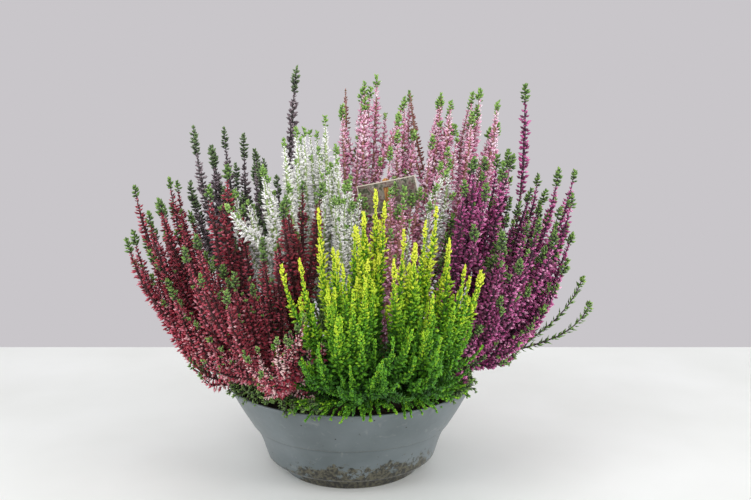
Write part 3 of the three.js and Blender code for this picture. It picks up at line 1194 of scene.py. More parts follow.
@dataclass
class Shoot:
    """One shoot: its line in millimetres, and how it has grown.

    stem is its bark's radius at its foot, and core the radius of stem and bracts together
    among the flowers. green, flowering and leafy are distances from the tip: where the green
    tip ends, where the flowers end, and where the leaves below them end.
    """

    line: Line
    stem: float
    core: float = 0.0
    vigour: float = 1.0
    tone: float = 0.0
    green: float = 10.0
    flowering: float = 70.0
    leafy: float = 110.0

    THIN = 0.38  # the bark's radius at the tip, against its foot
    CORE_RAMPS = (18.0, 12.0)  # lengths over which the core thickens under the tip, and thins
    LEAST_STEPS = 6
    RULER = 4.0  # the step that its length is measured with

    def at(self, share: float) -> Vector:
        """A place on the line.

        Args:
            share: Of the line's parameter.

        Returns:
            The place.
        """
        a, b, c, d = self.line
        rest = 1 - share
        return a * rest**3 + b * 3 * rest**2 * share + c * 3 * rest * share**2 + d * share**3

    def heading(self, share: float) -> Vector:
        """The direction of the line.

        Args:
            share: Of the line's parameter.

        Returns:
            The direction, one long.
        """
        a, b, c, d = self.line
        rest = 1 - share
        way = (b - a) * rest**2 + (c - b) * 2 * rest * share + (d - c) * share**2
        return way.normalized()

    def sampled(self, step: float) -> tuple[list[Vector], list[float]]:
        """Places along the line, from its foot.

        Args:
            step: About how far apart they are.

        Returns:
            The places, and how far each lies from the tip along the line.
        """
        count = max(self.LEAST_STEPS, math.ceil((self.line[3] - self.line[0]).length / step))
        places = [self.at(i / count) for i in range(count + 1)]
        left = [0.0]
        for near, far in zip(reversed(places), list(reversed(places))[1:]):
            left.append(left[-1] + (near - far).length)
        return places, left[::-1]

    def length(self) -> float:
        """The line's length."""
        return self.sampled(self.RULER)[1][0]

    def fade(self) -> None:
        """Lets the shoot's flowers fade: paler and smaller."""
        self.tone += FADED_TONE
        self.vigour *= FADED_SIZE

    def wither(self) -> None:
        """Dries the shoot up: small brown flowers up to its very tip."""
        self.green, self.tone, self.vigour = 0.0, WITHERED_TONE, WITHERED_SIZE

    def strip(self) -> None:
        """Takes the shoot's flowers off, as if they had dropped."""
        self.flowering, self.core = self.green, 0.0
        self.tone += DRY_TONE

    def radius(self, left: float, length: float) -> float:
        """The stem's radius with its bracts.

        Args:
            left: Distance from the tip along the line.
            length: Of the whole line.

        Returns:
            The radius, which thins towards the tip.
        """
        thickening, thinning = self.CORE_RAMPS
        bare = self.stem * (self.THIN + (1 - self.THIN) * left / length)
        flowers = min((left - self.green) / thickening, (self.flowering - left) / thinning, 1.0)
        return max(bare, self.core * flowers)


def leader_line(start: Vector, tip: Vector, out: Span) -> Line:
    """A leading shoot's line: outwards at first, and then up to its tip.

    Args:
        start: Where it starts.
        tip: Where it ends.
        out: How far out its two handles are, as shares of the way.

    Returns:
        The line.
    """
    run = Vector((tip.x - start.x, tip.y - start.y, 0))
    rise = Vector((0, 0, tip.z - start.z))
    handles = (start + run * o + rise * up for o, up in zip(out, LEADER_RISE, strict=True))
    return start, *handles, tip


def side_line(leader: Shoot, share: float, tip: Vector) -> Line:
    """A side shoot's line: along its leader at first, and upright, or drooping, at its tip.

    Args:
        leader: The shoot that it grows from.
        share: Where on the leader it starts.
        tip: Where it ends.

    Returns:
        The line.
    """
    start = leader.at(share)
    span = tip - start
    length = span.length
    outward = Vector((span.x, span.y, 0))
    lean, steeper = UPRIGHT
    end = outward * lean + Vector((0, 0, abs(span.z) + steeper * length))
    if span.z < LEVEL_RISE:
        out, up = DROOPING if span.z < 0 else LEVEL
        end = outward.normalized() * out + Vector((0, 0, up))
    end.normalize()
    first, last = HANDLES
    return start, start + leader.heading(share) * first * length, tip - end * last * length, tip


@dataclass(frozen=True)
class Organ:
    """A kind of bud or leaf: its size in millimetres, and how it stands in its whorls.

    Spreads, twist and looseness are in degrees. The first organs of a zone have the start
    spread and the small size, and the rest ramp up from them. Shades run from 0 to 1.
    """

    length: float
    width: float
    thickness: float
    pitch: float
    per_whorl: int
    start_spread: float
    full_spread: float
    ramp: float = 18.0
    small: float = 0.5
    fade: float = 12.0
    loose: float = 12.0
    curl: float = 0.0
    fullness: float = 0.8  # under one, widest beyond its middle
    twist: float = 45.0
    shade: float = 0.5
    shade_fall: float = 0.0  # per millimetre from the start of the zone
    shade_range: float = 0.2
    toned: float = 1.0  # how much of the shoot's own shade it takes on

    LENGTHS = ("length", "width", "thickness", "pitch", "ramp", "fade", "curl")
    ANGLES = ("start_spread", "full_spread", "loose", "twist")
    PLAIN = ("per_whorl", "small", "fullness", "shade", "shade_range", "toned")

    def values(self) -> dict[str, object]:
        """The organ tree's inputs for this kind of organ.

        Returns:
            Values by input name.
        """
        values = {key: getattr(self, key) for key in self.PLAIN}
        values |= {key: getattr(self, key) * MM for key in self.LENGTHS}
        values |= {key: math.radians(getattr(self, key)) for key in self.ANGLES}
        values["shade_fall"] = self.shade_fall / MM
        return {key.replace("_", " ").title(): value for key, value in values.items()}


class Zone(Enum):
    """A stretch of a shoot, by the names of the distances from the tip that bound it."""

    TIP = ("tip", "green")
    FLOWERS = ("green", "flowering")
    BELOW = ("flowering", "leafy")
    ALL_BELOW_TIP = ("green", "leafy")


@dataclass(frozen=True)
class Layer:
    """One kind of organ, where it grows on a shoot, and its finish."""

    organ: Organ
    zone: Zone
    strip: Strip
    finish: PlantTissue


@dataclass(frozen=True)
class Habit:
    """How one variety grows and looks."""

    layers: tuple[Layer, ...]
    bark: ShootBark
    green: float = 10.0  # length of the leafy tip
    flowering: float = 100.0  # length from the tip to the last flowers, at most
    flowering_share: float = 0.88  # of a shoot's length, at most
    depth: Span = (0.66, 0.95)  # how near the canopy's outside its shoots end
    spike: float = 85.0  # length of a side shoot's straight end
    tone_by_reach: float = 0.0  # how much lighter the outermost shoots are, and darker the inner ones, as painted shade inside the canopy
    tone_by_height: float = 0.0  # how much lighter a shoot is that ends 100 mm higher
    core: float = 1.2  # radius of stem and bracts among the flowers, whose bark colour there is partly painted shade between the buds
    inner_green: float = 0.5  # how long an inner shoot's leafy tip is, against an outer one's
    infill: int = 20  # side shoots besides those whose tips are named
    skirt: int = 8  # low upright shoots around the bowl's side
    skirt_flowers: float = 0.4  # share of them that flower
    skirt_tone: float = 0.0  # how much lighter they are
    fringe: int = 34  # short leafy shoots that lean over the rim
    leafy: int = 14  # short leafy shoots without flowers around the crown


class Skeleton:
    """The lines of a piece's shoots, as a mesh of edges that carries what the trees need."""

    STEP = 5.0
    MARKS = ("from_tip", "stem", "vigour", "tone", "tip", "green", "flowering", "leafy")
    STORED = ("whorl", "around")  # what the trees add to them and don't need later

    def __init__(self, name: str, shoots: list[Shoot]) -> None:
        """Builds the piece.

        Args:
            name: The piece's name.
            shoots: Its shoots.
        """
        places: list[Vector] = []
        edges: list[tuple[int, int]] = []
        marks: list[tuple[float, ...]] = []
        for shoot in shoots:
            line, left = shoot.sampled(self.STEP)
            edges += [(len(places) + i, len(places) + i + 1) for i in range(len(line) - 1)]
            places += line
            marks += [
                (
                    distance * MM, shoot.radius(distance, left[0]) * MM, shoot.vigour, shoot.tone,
                    0.0, shoot.green * MM, shoot.flowering * MM, shoot.leafy * MM,
                )
                for distance in left
            ]
        mesh = bpy.data.meshes.new(name)
        mesh.from_pydata([p * MM for p in places], edges, [])
        for key, values in zip(self.MARKS, zip(*marks), strict=True):
            mesh.attributes.new(key, "FLOAT", "POINT").data.foreach_set("value", values)
        self.piece = link_object(name, mesh)

    def finish(self) -> bpy.types.Object:
        """Turns the grown shoots into a plain mesh without the numbers that the trees used.

        Returns:
            The piece.
        """
        flatten(self.piece)
        attributes = self.piece.data.attributes
        for key in self.MARKS + self.STORED:
            if key in attributes:
                attributes.remove(attributes[key])
        return self.piece


# ---------------------------------------------------------------------------
# Bowl and soil
# ---------------------------------------------------------------------------


@dataclass
class PlanterBowl:
    """The round bowl: one moulded shell with a ledge low down and a groove half way up."""

    wall: float = 1.6
    height: float = 70.0
    rim_radius: float = 95.0
    foot_radius: float = 52.0
    foot_bevel: float = 2.0
    lip: float = 0.8  # how far the rounded lip rises
    drain_holes: int = 5
    drain_radius: float = 4.0
    drain_circle: float = 30.0
    drill_length: float = 10.0
    drill_sides: int = 24
    lip_step: float = 30.0  # degrees
    segments: int = 96
    finish: MouldedPolypropylene = field(default_factory=MouldedPolypropylene)

    def outside(self) -> Outline:
        """The outline of the outer wall, from the foot to just below the lip.

        Returns:
            Its points.
        """
        foot = [(self.foot_radius, 0.0), (53.2, 0.3), (53.6, 0.9), (56.4, 7.8), (57.0, 8.6)]
        ledge = [(57.9, 8.9), (62.6, 9.6), (64.7, 10.5), (65.9, 11.9)]
        lower = [(66.4, 13.4), (70.8, 27.0), (75.4, 36.2)]
        groove = [(75.6, 36.9), (75.8, 37.4), (76.5, 37.7), (77.3, 37.9)]
        upper = [(77.6, 38.3), (86.0, 52.4), (self.rim_radius, self.height - self.lip)]
        return [*foot, *ledge, *spline(lower, 6), *groove, *spline(upper, 8)]

    def outline(self) -> Outline:
        """The whole shell's outline, from the axis under the floor to the axis on it.

        Returns:
            Its points.
        """
        outside = self.outside()
        inside = [p for p in offset(outside, self.wall) if p[1] > self.wall]
        middle = self.rim_radius - self.wall / 2
        top = self.height - self.lip
        lip = [
            (middle + self.wall / 2 * math.cos(a), top + self.lip * math.sin(a))
            for a in (math.radians(self.lip_step * i) for i in range(1, 6))
        ]
        floor = [(self.foot_radius, self.wall), (0.0, self.wall)]
        start = [(0.0, 0.0), (self.foot_radius - self.foot_bevel, 0.0)]
        return [*start, *outside, *lip, *inside[::-1], *floor]

    def build(self) -> None:
        """Builds the bowl, with its drain holes cut by a boolean."""
        shell = mesh_of("bowl_shell", lathe(self.outline(), self.segments))
        piece = link_object("bowl_shell", shell)
        drill = bmesh.new()
        for i in range(self.drain_holes):
            angle = 2 * math.pi * i / self.drain_holes
            centre = Vector((math.cos(angle), math.sin(angle), 0)) * self.drain_circle * MM
            bmesh.ops.create_cone(
                drill, cap_ends=True, segments=self.drill_sides,
                radius1=self.drain_radius * MM, radius2=self.drain_radius * MM,
                depth=self.drill_length * MM, matrix=Matrix.Translation(centre),
            )
        cutter = link_object("drill", mesh_of("drill", drill))
        cut = piece.modifiers.new("drain_holes", "BOOLEAN")
        cut.operation = "DIFFERENCE"
        cut.solver = "EXACT"
        cut.object = cutter
        flatten(piece)
        bpy.data.objects.remove(cutter)
        piece.data.materials.clear()
        piece.data.materials.append(self.finish.material())
        hand_in(piece, "bowl_plastic", "planter_bowl")


@dataclass
class PeatFill:
    """Potting soil or a root ball: the CAD solid's shape with a crumbly surface."""

    node: str
    name: str
    slot: str
    cell: float  # of the remeshed surface
    roughness: float  # height of its lumps
    crumbs: float  # loose crumbs per square millimetre on top
    lump: float = 6.0  # width of its lumps
    weld: float = 0.01  # under which the CAD solid's corners are one

    def build(
        self, frame: dict, tree: bpy.types.NodeTree, material: bpy.types.Material, seed: int
    ) -> None:
        """Builds the piece from a merged copy of its CAD solid.

        Args:
            frame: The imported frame.
            tree: The crumb tree.
            material: The peat's finish.
            seed: Of its crumbs.
        """
        build = bmesh.new()
        build.from_mesh(frame["nodes"][self.node].data)
        bmesh.ops.remove_doubles(build, verts=build.verts, dist=self.weld * MM)
        piece = link_object(self.name, mesh_of(self.name, build))
        remesh = piece.modifiers.new("remesh", "REMESH")
        remesh.mode = "VOXEL"
        remesh.voxel_size = self.cell * MM
        remesh.use_smooth_shade = True
        flatten(piece)
        grow_on(piece, tree, {
            "Density": self.crumbs / MM**2, "Lump": self.roughness * MM,
            "Lump Size": 1 / (self.lump * MM), "Seed": seed, "Material": material,
        })
        flatten(piece)
        hand_in(piece, self.slot, self.node)


# ---------------------------------------------------------------------------
# Plants
# ---------------------------------------------------------------------------

BALL_TOP = 62.0  # height of the root balls' tops
RING_SHARE = 0.075  # of the way to a spray's tip that its leading shoot starts from the crown
RING_SPACING = 5.2  # between the leading shoots' feet, at least
RING_ROUNDS = 200
RING_PEAK = 9.0  # how far the crown's middle rises above its root ball
RING_FALL = 0.5  # how much lower a leading shoot starts, for each millimetre further out
FORKS = (0.34, 0.4, 0.3, 0.46, 0.36, 0.43)  # where side shoots start along their leader
LEADER_OUT = (0.5, 0.9)
STEM_STEP = 12.0  # between the rings of a swept stem
STEM_SIDES = 4
RIPENESS = 150.0  # distance from the tip at which bark is woody
LEADER_STEM = 1.0  # radii at the foot
SIDE_STEM = 0.8
SHORT_STEM = 0.64
TRUNK = 4.6
STUB = 2.4
TOUCH = 0.3  # gap between pieces that touch
LOW_HEIGHT = 90.0  # above the soil, under which shoots lean out further
LOW_LEAN = 1.6  # how much further, at the soil
BOWL_LEAN = 480.0  # distance from the axis at which an upper shoot would lean out by 45 degrees
RIM_CLEAR = 78.0  # height at which a shoot clears the rim
RIM_NEAR = 74.0  # distance from the axis beyond which it has to
SOIL_CLEAR = 8.0  # how far over its root ball any other shoot's straight end starts
FOOT_STEPS = 12  # places along a leader that a side shoot may start from
FOOT_FIRST = 0.04
FOOT_STEP = 0.06
FOOT_RISE = (4.0, 3.0)  # how far down from its start a shoot may run, and the cost beyond that
WIDEST = 180.0  # distance of the outermost tips from the axis
MID_HEIGHT = 160.0  # of the tips
FULL_HEIGHT = 110.0  # above the soil, from which a shoot has its whole green tip
LEAFY_SHARE = 0.92  # of a shoot's length that has leaves or flowers
VIGOUR = (0.9, 1.1)  # the least and the most
TONE_SPREAD = 0.08  # how far a shoot's shade is from its variety's
GREEN_RANGE = (0.75, 1.3)  # of the variety's green tip
GREEN_MOST = 0.3  # of a shoot's length
GREEN_LEAST = 0.4  # of its green tip, where it ends at the soil
FLOWER_RANGE = (0.9, 1.05)  # of the most that flowers
SPIKE_RANGE = (0.85, 1.1)  # of the variety's straight end
SPIKE_SHARE = 0.8  # of the height above the soil that a low straight end takes
SPIKE_MORE = 12.0  # and how much longer it is
SPIKE_HANDLES = (0.3, 0.25)  # along the way to its straight end, and along that
SPIKE_RISE = 0.2  # how far a spike has to rise on its way to it
CHOICE_RANGE = (0.9, 1.1)  # of the way to a leader, so that spikes spread over them
BETWEEN = (0.1, 0.7)  # where infill ends on the way from one tip to another
SKIRT_STRAY = 4  # degrees
LAYER_SEED, SPRAY_SEED, PLANT_SEED = 7, 10, 100  # steps between the trees' seeds
HEART_RISE = 2.0  # of a crown's trunk
STUB_END = 1.5  # length of a stub's straight end
STUB_HANDLE = 0.66
FRONT_WEIGHT = 60.0  # distance to the front at which a tip draws twice as much infill
NEIGHBOURS = 5
SCATTER = (6, 6, 3)  # how far infill strays from between two tips
FRINGE_HANDLES = (0.4, 0.3)  # of the way along
FRINGE_GREEN = 0.5  # how long their leafy tips are, against other inner ones
FRINGE_TONE = -0.26
FRINGE_TIPS = (68.0, 81.0)  # lowest and highest
FRINGE_REACH = (89.0, 102.0)  # from the bowl's axis
FRINGE_FEET = (0.03, 0.12)  # along its leader
LEAFY_FEET = (0.03, 0.16)
LEAFY_REACH = (6, 26)  # from its start
LEAFY_RISE = (24, 60)


@dataclass
class HeatherPlant:
    """One young heather: a woody crown and its sprays, whose tips are given, and the smaller
    shoots between and below them."""

    name: str
    crown: tuple[float, float]
    sprays: tuple[tuple[Point, ...], ...]
    habit: Habit
    seed: int  # of its random numbers
    filling: tuple[Point, ...] = ()  # tips of some of the smaller shoots between the sprays
    aimed: tuple[tuple[Point, Point], ...] = ()  # foot and tip of spikes that lean their own way
    fading: tuple[tuple[Point, Point], ...] = ()  # foot and tip of spikes with faded flowers
    withered: tuple[tuple[Point, Point], ...] = ()  # foot and tip of spikes that have dried up
    facing: float | None = None  # degrees from +X that its skirt faces, if it has one
    sector: float = 50.0  # degrees to each side that the skirt reaches
    skirt_tips: Span = (74.0, 125.0)  # lowest and highest
    skirt_reach: Span = (92.0, 112.0)  # from the bowl's axis
    early: dict[int, Span] = field(default_factory=dict)  # leaders upright early
    bare: tuple[int, ...] = ()  # sprays without flowers, which the infill keeps clear of
    faded: tuple[int, ...] = ()  # sprays whose flowers have faded
    deep: tuple[int, ...] = ()  # sprays whose flowers have a deeper shade
    dried: tuple[Point, ...] = ()  # tips of the sprays' side shoots that have dried up
    leaders: list[Shoot] = field(default_factory=list, init=False)

    def __post_init__(self) -> None:
        """Starts the plant's random numbers."""
        self.chance = random.Random(self.seed)

    def starts(self) -> list[Vector]:
        """Where the leading shoots start: in a ring like that of their tips, spread apart.

        Returns:
            Their feet.
        """
        cx, cy = self.crown
        places = [
            Vector((cx + RING_SHARE * (tips[0][0] - cx), cy + RING_SHARE * (tips[0][1] - cy)))
            for tips in self.sprays
        ]
        for _ in range(RING_ROUNDS):
            for i in range(len(places)):
                for j in range(i + 1, len(places)):
                    apart = places[j] - places[i]
                    missing = RING_SPACING - apart.length
                    if missing > 0:
                        push = apart.normalized() * missing / 2
                        places[i] = places[i] - push
                        places[j] = places[j] + push
        return [
            Vector((p.x, p.y, BALL_TOP + RING_PEAK - RING_FALL * math.hypot(p.x - cx, p.y - cy)))
            for p in places
        ]

    def clothe(self, shoot: Shoot, inner: bool = False) -> Shoot:
        """Gives a shoot its own vigour, shade and lengths of green tip and flowers.

        Args:
            shoot: The shoot.
            inner: Whether it ends inside the canopy.

        Returns:
            The same shoot.
        """
        habit, tip, chance = self.habit, shoot.line[3], self.chance
        shoot.core = habit.core
        length = shoot.length()
        shoot.vigour = chance.uniform(*VIGOUR)
        shoot.tone = chance.uniform(-TONE_SPREAD, TONE_SPREAD)
        # painted shade: shoots that end nearer the axis are darker, those further out lighter
        shoot.tone += habit.tone_by_reach * (tip.xy.length / WIDEST - 0.5)
        shoot.tone += habit.tone_by_height * (tip.z - MID_HEIGHT) / 100
        shoot.green = min(habit.green * chance.uniform(*GREEN_RANGE), GREEN_MOST * length)
        shoot.green *= habit.inner_green if inner else 1.0
        shoot.green *= min(1.0, max(GREEN_LEAST, (tip.z - BALL_TOP) / FULL_HEIGHT))
        most = min(habit.flowering, habit.flowering_share * length)
        shoot.flowering = most * chance.uniform(*FLOWER_RANGE)
        shoot.leafy = length * LEAFY_SHARE
        return shoot

    def spike_foot(self, tip: Vector) -> Vector:
        """Where a spike's straight end starts if the bowl makes it lean.

        Args:
            tip: The spike's tip.

        Returns:
            The place.
        """
        height = tip.z - BALL_TOP
        low = max(0.0, 1 - height / LOW_HEIGHT)
        outward = Vector((tip.x, tip.y, 0)) / BOWL_LEAN
        end = (outward * (1 + LOW_LEAN * low) + Vector((0, 0, 1))).normalized()
        reach = min(self.habit.spike, SPIKE_SHARE * height + SPIKE_MORE)
        foot = tip - end * (reach * self.chance.uniform(*SPIKE_RANGE))
        foot.z = max(foot.z, RIM_CLEAR if foot.xy.length > RIM_NEAR else BALL_TOP + SOIL_CLEAR)
        return foot

    def spike(
        self, tip: Vector, inner: bool = False, foot: Vector | None = None
    ) -> tuple[int, Shoot]:
        """A side shoot that ends in a straight spike, from wherever on a leader it suits best.

        Args:
            tip: The side shoot's tip.
            inner: Whether it ends inside the canopy.
            foot: Where the straight end starts, or none to let it stand as the bowl makes it.

        Returns:
            The number of the leader that it grows from, and the shoot.
        """
        if foot is None:
            foot = self.spike_foot(tip)
        free, cost = FOOT_RISE
        best = (math.inf, 0, 0.0)
        for index, leader in enumerate(self.leaders):
            for step in range(FOOT_STEPS):
                share = FOOT_FIRST + FOOT_STEP * step
                place = leader.at(share)
                gap = (foot - place).length + cost * max(0.0, place.z - foot.z - free)
                best = min(best, (gap * self.chance.uniform(*CHOICE_RANGE), index, share))
        _, index, share = best
        leader = self.leaders[index]
        start = leader.at(share)
        gap = (foot - start).length
        first, last = SPIKE_HANDLES
        away = start + leader.heading(share) * first * gap
        away.z = max(away.z, min(start.z + SPIKE_RISE * gap, tip.z))
        line = (start, away, foot.lerp(tip, last), tip)
        return index, self.clothe(Shoot(line, SIDE_STEM), inner)

    def infill(self) -> Grown:
        """Side shoots that fill the canopy: those of the filling tips, and others between.

        Returns:
            The shoots.
        """
        sprays = [spray for i, spray in enumerate(self.sprays) if i not in self.bare]
        goals = [(Vector(tip), False) for tip in self.filling]
        tips = [Vector(tip) for spray in (*sprays, self.filling) for tip in spray]
        weights = [1 + max(0.0, -tip.y) / FRONT_WEIGHT for tip in tips]
        chance = self.chance
        for _ in range(self.habit.infill):
            first = chance.choices(tips, weights)[0]
            near = sorted(tips, key=lambda tip: (tip - first).length)[1 : NEIGHBOURS + 1]
            goal = first.lerp(chance.choice(near), chance.uniform(*BETWEEN))
            goal += Vector(chance.uniform(-1, 1) * reach for reach in SCATTER)
            heart = Vector(((goal.x + self.crown[0]) / 2, (goal.y + self.crown[1]) / 2, BALL_TOP))
            goals.append((heart.lerp(goal, chance.uniform(*self.habit.depth)), True))
        grown = [self.spike(goal, inner) for goal, inner in goals]
        for foot, tip in self.aimed + self.fading + self.withered:
            grown.append(self.spike(Vector(tip), foot=Vector(foot)))
            if (foot, tip) in self.fading:
                grown[-1][1].fade()
            if (foot, tip) in self.withered:
                grown[-1][1].wither()
        return grown

    def rim_tips(self, count: int, reach: Span, heights: Span) -> Iterator[Vector]:
        """Tips around the plant's side of the bowl, if it has one.

        Args:
            count: How many.
            reach: How near the bowl's axis and how far from it.
            heights: The lowest and the highest.

        Yields:
            The tips, each drawn when it is asked for.
        """
        if self.facing is None:
            return
        chance = self.chance
        for i in range(count):
            turn = self.sector * ((i + 0.5) / count * 2 - 1)
            angle = math.radians(self.facing + turn + chance.uniform(-SKIRT_STRAY, SKIRT_STRAY))
            out = chance.uniform(*reach)
            yield Vector((out * math.cos(angle), out * math.sin(angle), chance.uniform(*heights)))

    def skirt(self) -> Grown:
        """Short low shoots around the plant's side of the bowl.

        Returns:
            The shoots.
        """
        grown = []
        for tip in self.rim_tips(self.habit.skirt, self.skirt_reach, self.skirt_tips):
            index, shoot = self.spike(tip, inner=True)
            shoot.tone += self.habit.skirt_tone
            if self.chance.random() > self.habit.skirt_flowers:
                shoot.flowering = shoot.green
            grown.append((index, shoot))
        return grown

    def fringe(self) -> Grown:
        """Short leafy shoots that lean over the rim.

        Returns:
            The shoots.
        """
        grown = []
        for tip in self.rim_tips(self.habit.fringe, FRINGE_REACH, FRINGE_TIPS):
            near = [(leader.at(FRINGE_FEET[1]).xy - tip.xy).length for leader in self.leaders]
            index = near.index(min(near))
            start = self.leaders[index].at(self.chance.uniform(*FRINGE_FEET))
            run = Vector((tip.x - start.x, tip.y - start.y, 0))
            over = Vector((0, 0, RIM_CLEAR - tip.z))
            first, last = FRINGE_HANDLES
            line = (start, start + run * first + over, tip - run * last + over, tip)
            shoot = self.clothe(Shoot(line, SHORT_STEM), inner=True)
            shoot.green *= FRINGE_GREEN
            shoot.tone = FRINGE_TONE + self.chance.uniform(-TONE_SPREAD, TONE_SPREAD)
            shoot.flowering = shoot.green
            grown.append((index, shoot))
        return grown

    def undergrowth(self) -> Grown:
        """Short leafy shoots around the crown.

        Returns:
            The shoots.
        """
        grown, chance = [], self.chance
        for _ in range(self.habit.leafy):
            index = chance.randrange(len(self.leaders))
            share = chance.uniform(*LEAFY_FEET)
            angle = chance.uniform(0, 2 * math.pi)
            out = chance.uniform(*LEAFY_REACH)
            rise = chance.uniform(*LEAFY_RISE)
            way = Vector((out * math.cos(angle), out * math.sin(angle), rise))
            leader = self.leaders[index]
            line = side_line(leader, share, leader.at(share) + way)
            shoot = self.clothe(Shoot(line, SHORT_STEM))
            shoot.flowering = shoot.green
            grown.append((index, shoot))
        return grown

    def spray(self, number: int) -> list[Shoot]:
        """A spray's leading shoot, and the side shoots whose tips are given.

        Args:
            number: The spray's place among the plant's.

        Returns:
            The shoots, the leading one first.
        """
        shoots = [self.leaders[number]]
        for j, tip in enumerate(self.sprays[number][1:]):
            line = side_line(shoots[0], FORKS[j % len(FORKS)], Vector(tip))
            shoots.append(self.clothe(Shoot(line, SIDE_STEM)))
            if tip in self.dried:
                shoots[-1].wither()
        for shoot in shoots:
            if number in self.faded:
                shoot.fade()
            if number in self.bare:
                shoot.strip()
        return shoots

    def build(self, organs: bpy.types.NodeTree, stems: bpy.types.NodeTree) -> None:
        """Builds the plant's sprays and crown.

        Args:
            organs: The tree that sets buds and leaves along the shoots.
            stems: The tree that sweeps their stems.
        """
        for i, (start, tips) in enumerate(zip(self.starts(), self.sprays, strict=True)):
            line = leader_line(start, Vector(tips[0]), self.early.get(i, LEADER_OUT))
            self.leaders.append(self.clothe(Shoot(line, LEADER_STEM)))
        kinds = (self.infill, self.skirt, self.fringe, self.undergrowth)
        smaller = [grown for kind in kinds for grown in kind()]
        layers = [(layer, layer.finish.material()) for layer in self.habit.layers]
        bark = self.habit.bark.material()
        for i in range(len(self.sprays)):
            shoots = self.spray(i)
            shoots += [shoot for index, shoot in smaller if index == i]
            if i in self.deep:
                for shoot in shoots:
                    shoot.tone += DEEP_TONE
            skeleton = Skeleton(f"heather_{self.name}_{i + 1}", shoots)
            seed = self.seed * PLANT_SEED + i * SPRAY_SEED
            for layer, finish in layers:
                seed += LAYER_SEED
                start, end = layer.zone.value
                foot, height = layer.strip.value
                grow_on(skeleton.piece, organs, layer.organ.values() | {
                    "Zone Start": start, "Zone End": end, "Strip Foot": foot,
                    "Strip Height": height, "Seed": seed, "Material": finish,
                })
            self.sweep(stems, skeleton.piece, bark)
            hand_in(skeleton.finish(), f"heather_{self.name}", f"spray_{self.name}_{i + 1}")
        self.build_crown(stems, bark)

    @staticmethod
    def sweep(
        stems: bpy.types.NodeTree, piece: bpy.types.Object, bark: bpy.types.Material
    ) -> None:
        """Sweeps the stems of a piece's lines.

        Args:
            stems: The tree that does it.
            piece: The piece.
            bark: The stems' finish.
        """
        foot, height = Strip.BARK.value
        grow_on(piece, stems, {
            "Step": STEM_STEP * MM, "Sides": STEM_SIDES, "Ripe Length": RIPENESS * MM,
            "Strip Foot": foot, "Strip Height": height, "Material": bark,
        })

    def build_crown(self, stems: bpy.types.NodeTree, bark: bpy.types.Material) -> None:
        """Builds the woody crown: a short trunk, and a stub that meets each leading shoot.

        Args:
            stems: The tree that sweeps its stems.
            bark: The stems' finish.
        """
        foot = Vector((*self.crown, BALL_TOP + TOUCH))
        rise = Vector((0, 0, HEART_RISE))
        heart = foot + rise
        stubs = [Shoot((foot, foot.lerp(heart, 0.5), heart, heart + rise), TRUNK)]
        for leader in self.leaders:
            end = leader.line[0] - leader.heading(0) * TOUCH
            elbow = end - leader.heading(0) * STUB_END
            line = (heart, heart.lerp(elbow, STUB_HANDLE), end.lerp(elbow, STUB_HANDLE), end)
            stubs.append(Shoot(line, STUB))
        skeleton = Skeleton(f"woody_crown_{self.name}", stubs)
        self.sweep(stems, skeleton.piece, bark)
        hand_in(skeleton.finish(), "woody_stem", f"crown_{self.name}")


GREEN_LEAF = PlantTissue(
    "scale_leaf_green", ("#263e18", "#395822", "#50762c", "#6d943c", "#96b856"), "#34472a",
    tip="#8bae50", tip_share=0.5,
)
DARK_LEAF = PlantTissue(
    "scale_leaf_dark", ("#28341f", "#3c4e2f", "#526a3e", "#6d8852", "#92aa74"), "#2e3a26",
    tip="#7e9a60", tip_share=0.5,
)
FRESH_LEAF = PlantTissue(
    "scale_leaf_fresh", ("#38561f", "#50782b", "#6d983a", "#8eb653", "#b6d47c"), "#4c6c2e",
    tip="#a4cc6c", tip_share=0.5,
)
LIME_LEAF = PlantTissue(
    "scale_leaf_lime",
    ("#163a0c", "#27580f", "#407e12", "#66a616", "#9cc820", "#ccde2e", "#e2ea48"), "#366812",
    sheen=0.04,
)
TIP_LEAF = Organ(
    length=4.6, width=3.0, thickness=2.2, pitch=1.8, per_whorl=4, start_spread=26, full_spread=58,
    ramp=6, small=0.75, fade=2, loose=14, curl=-0.4, shade=0.58, shade_fall=-0.03,
    shade_range=0.3, toned=0.3,
)
STEM_LEAF = Organ(
    length=5.0, width=2.2, thickness=1.2, pitch=3.0, per_whorl=3, start_spread=45, full_spread=45,
    ramp=5, small=0.8, fade=4, loose=18, curl=0.8, fullness=1.2, twist=70, shade=0.25,
    shade_range=0.25, toned=0.3,
)


def flowering_layers(bud: Organ, sepals: PlantTissue, leaf: PlantTissue) -> tuple[Layer, ...]:
    """The layers of a variety grown for its flowers: buds, with leaves above and below.

    Args:
        bud: Its buds.
        sepals: Their finish.
        leaf: Its leaves' finish.

    Returns:
        The layers.
    """
    return (
        Layer(bud, Zone.FLOWERS, Strip.BUD, sepals),
        Layer(TIP_LEAF, Zone.TIP, Strip.LEAF, leaf),
        Layer(STEM_LEAF, Zone.BELOW, Strip.LEAF, leaf),
    )


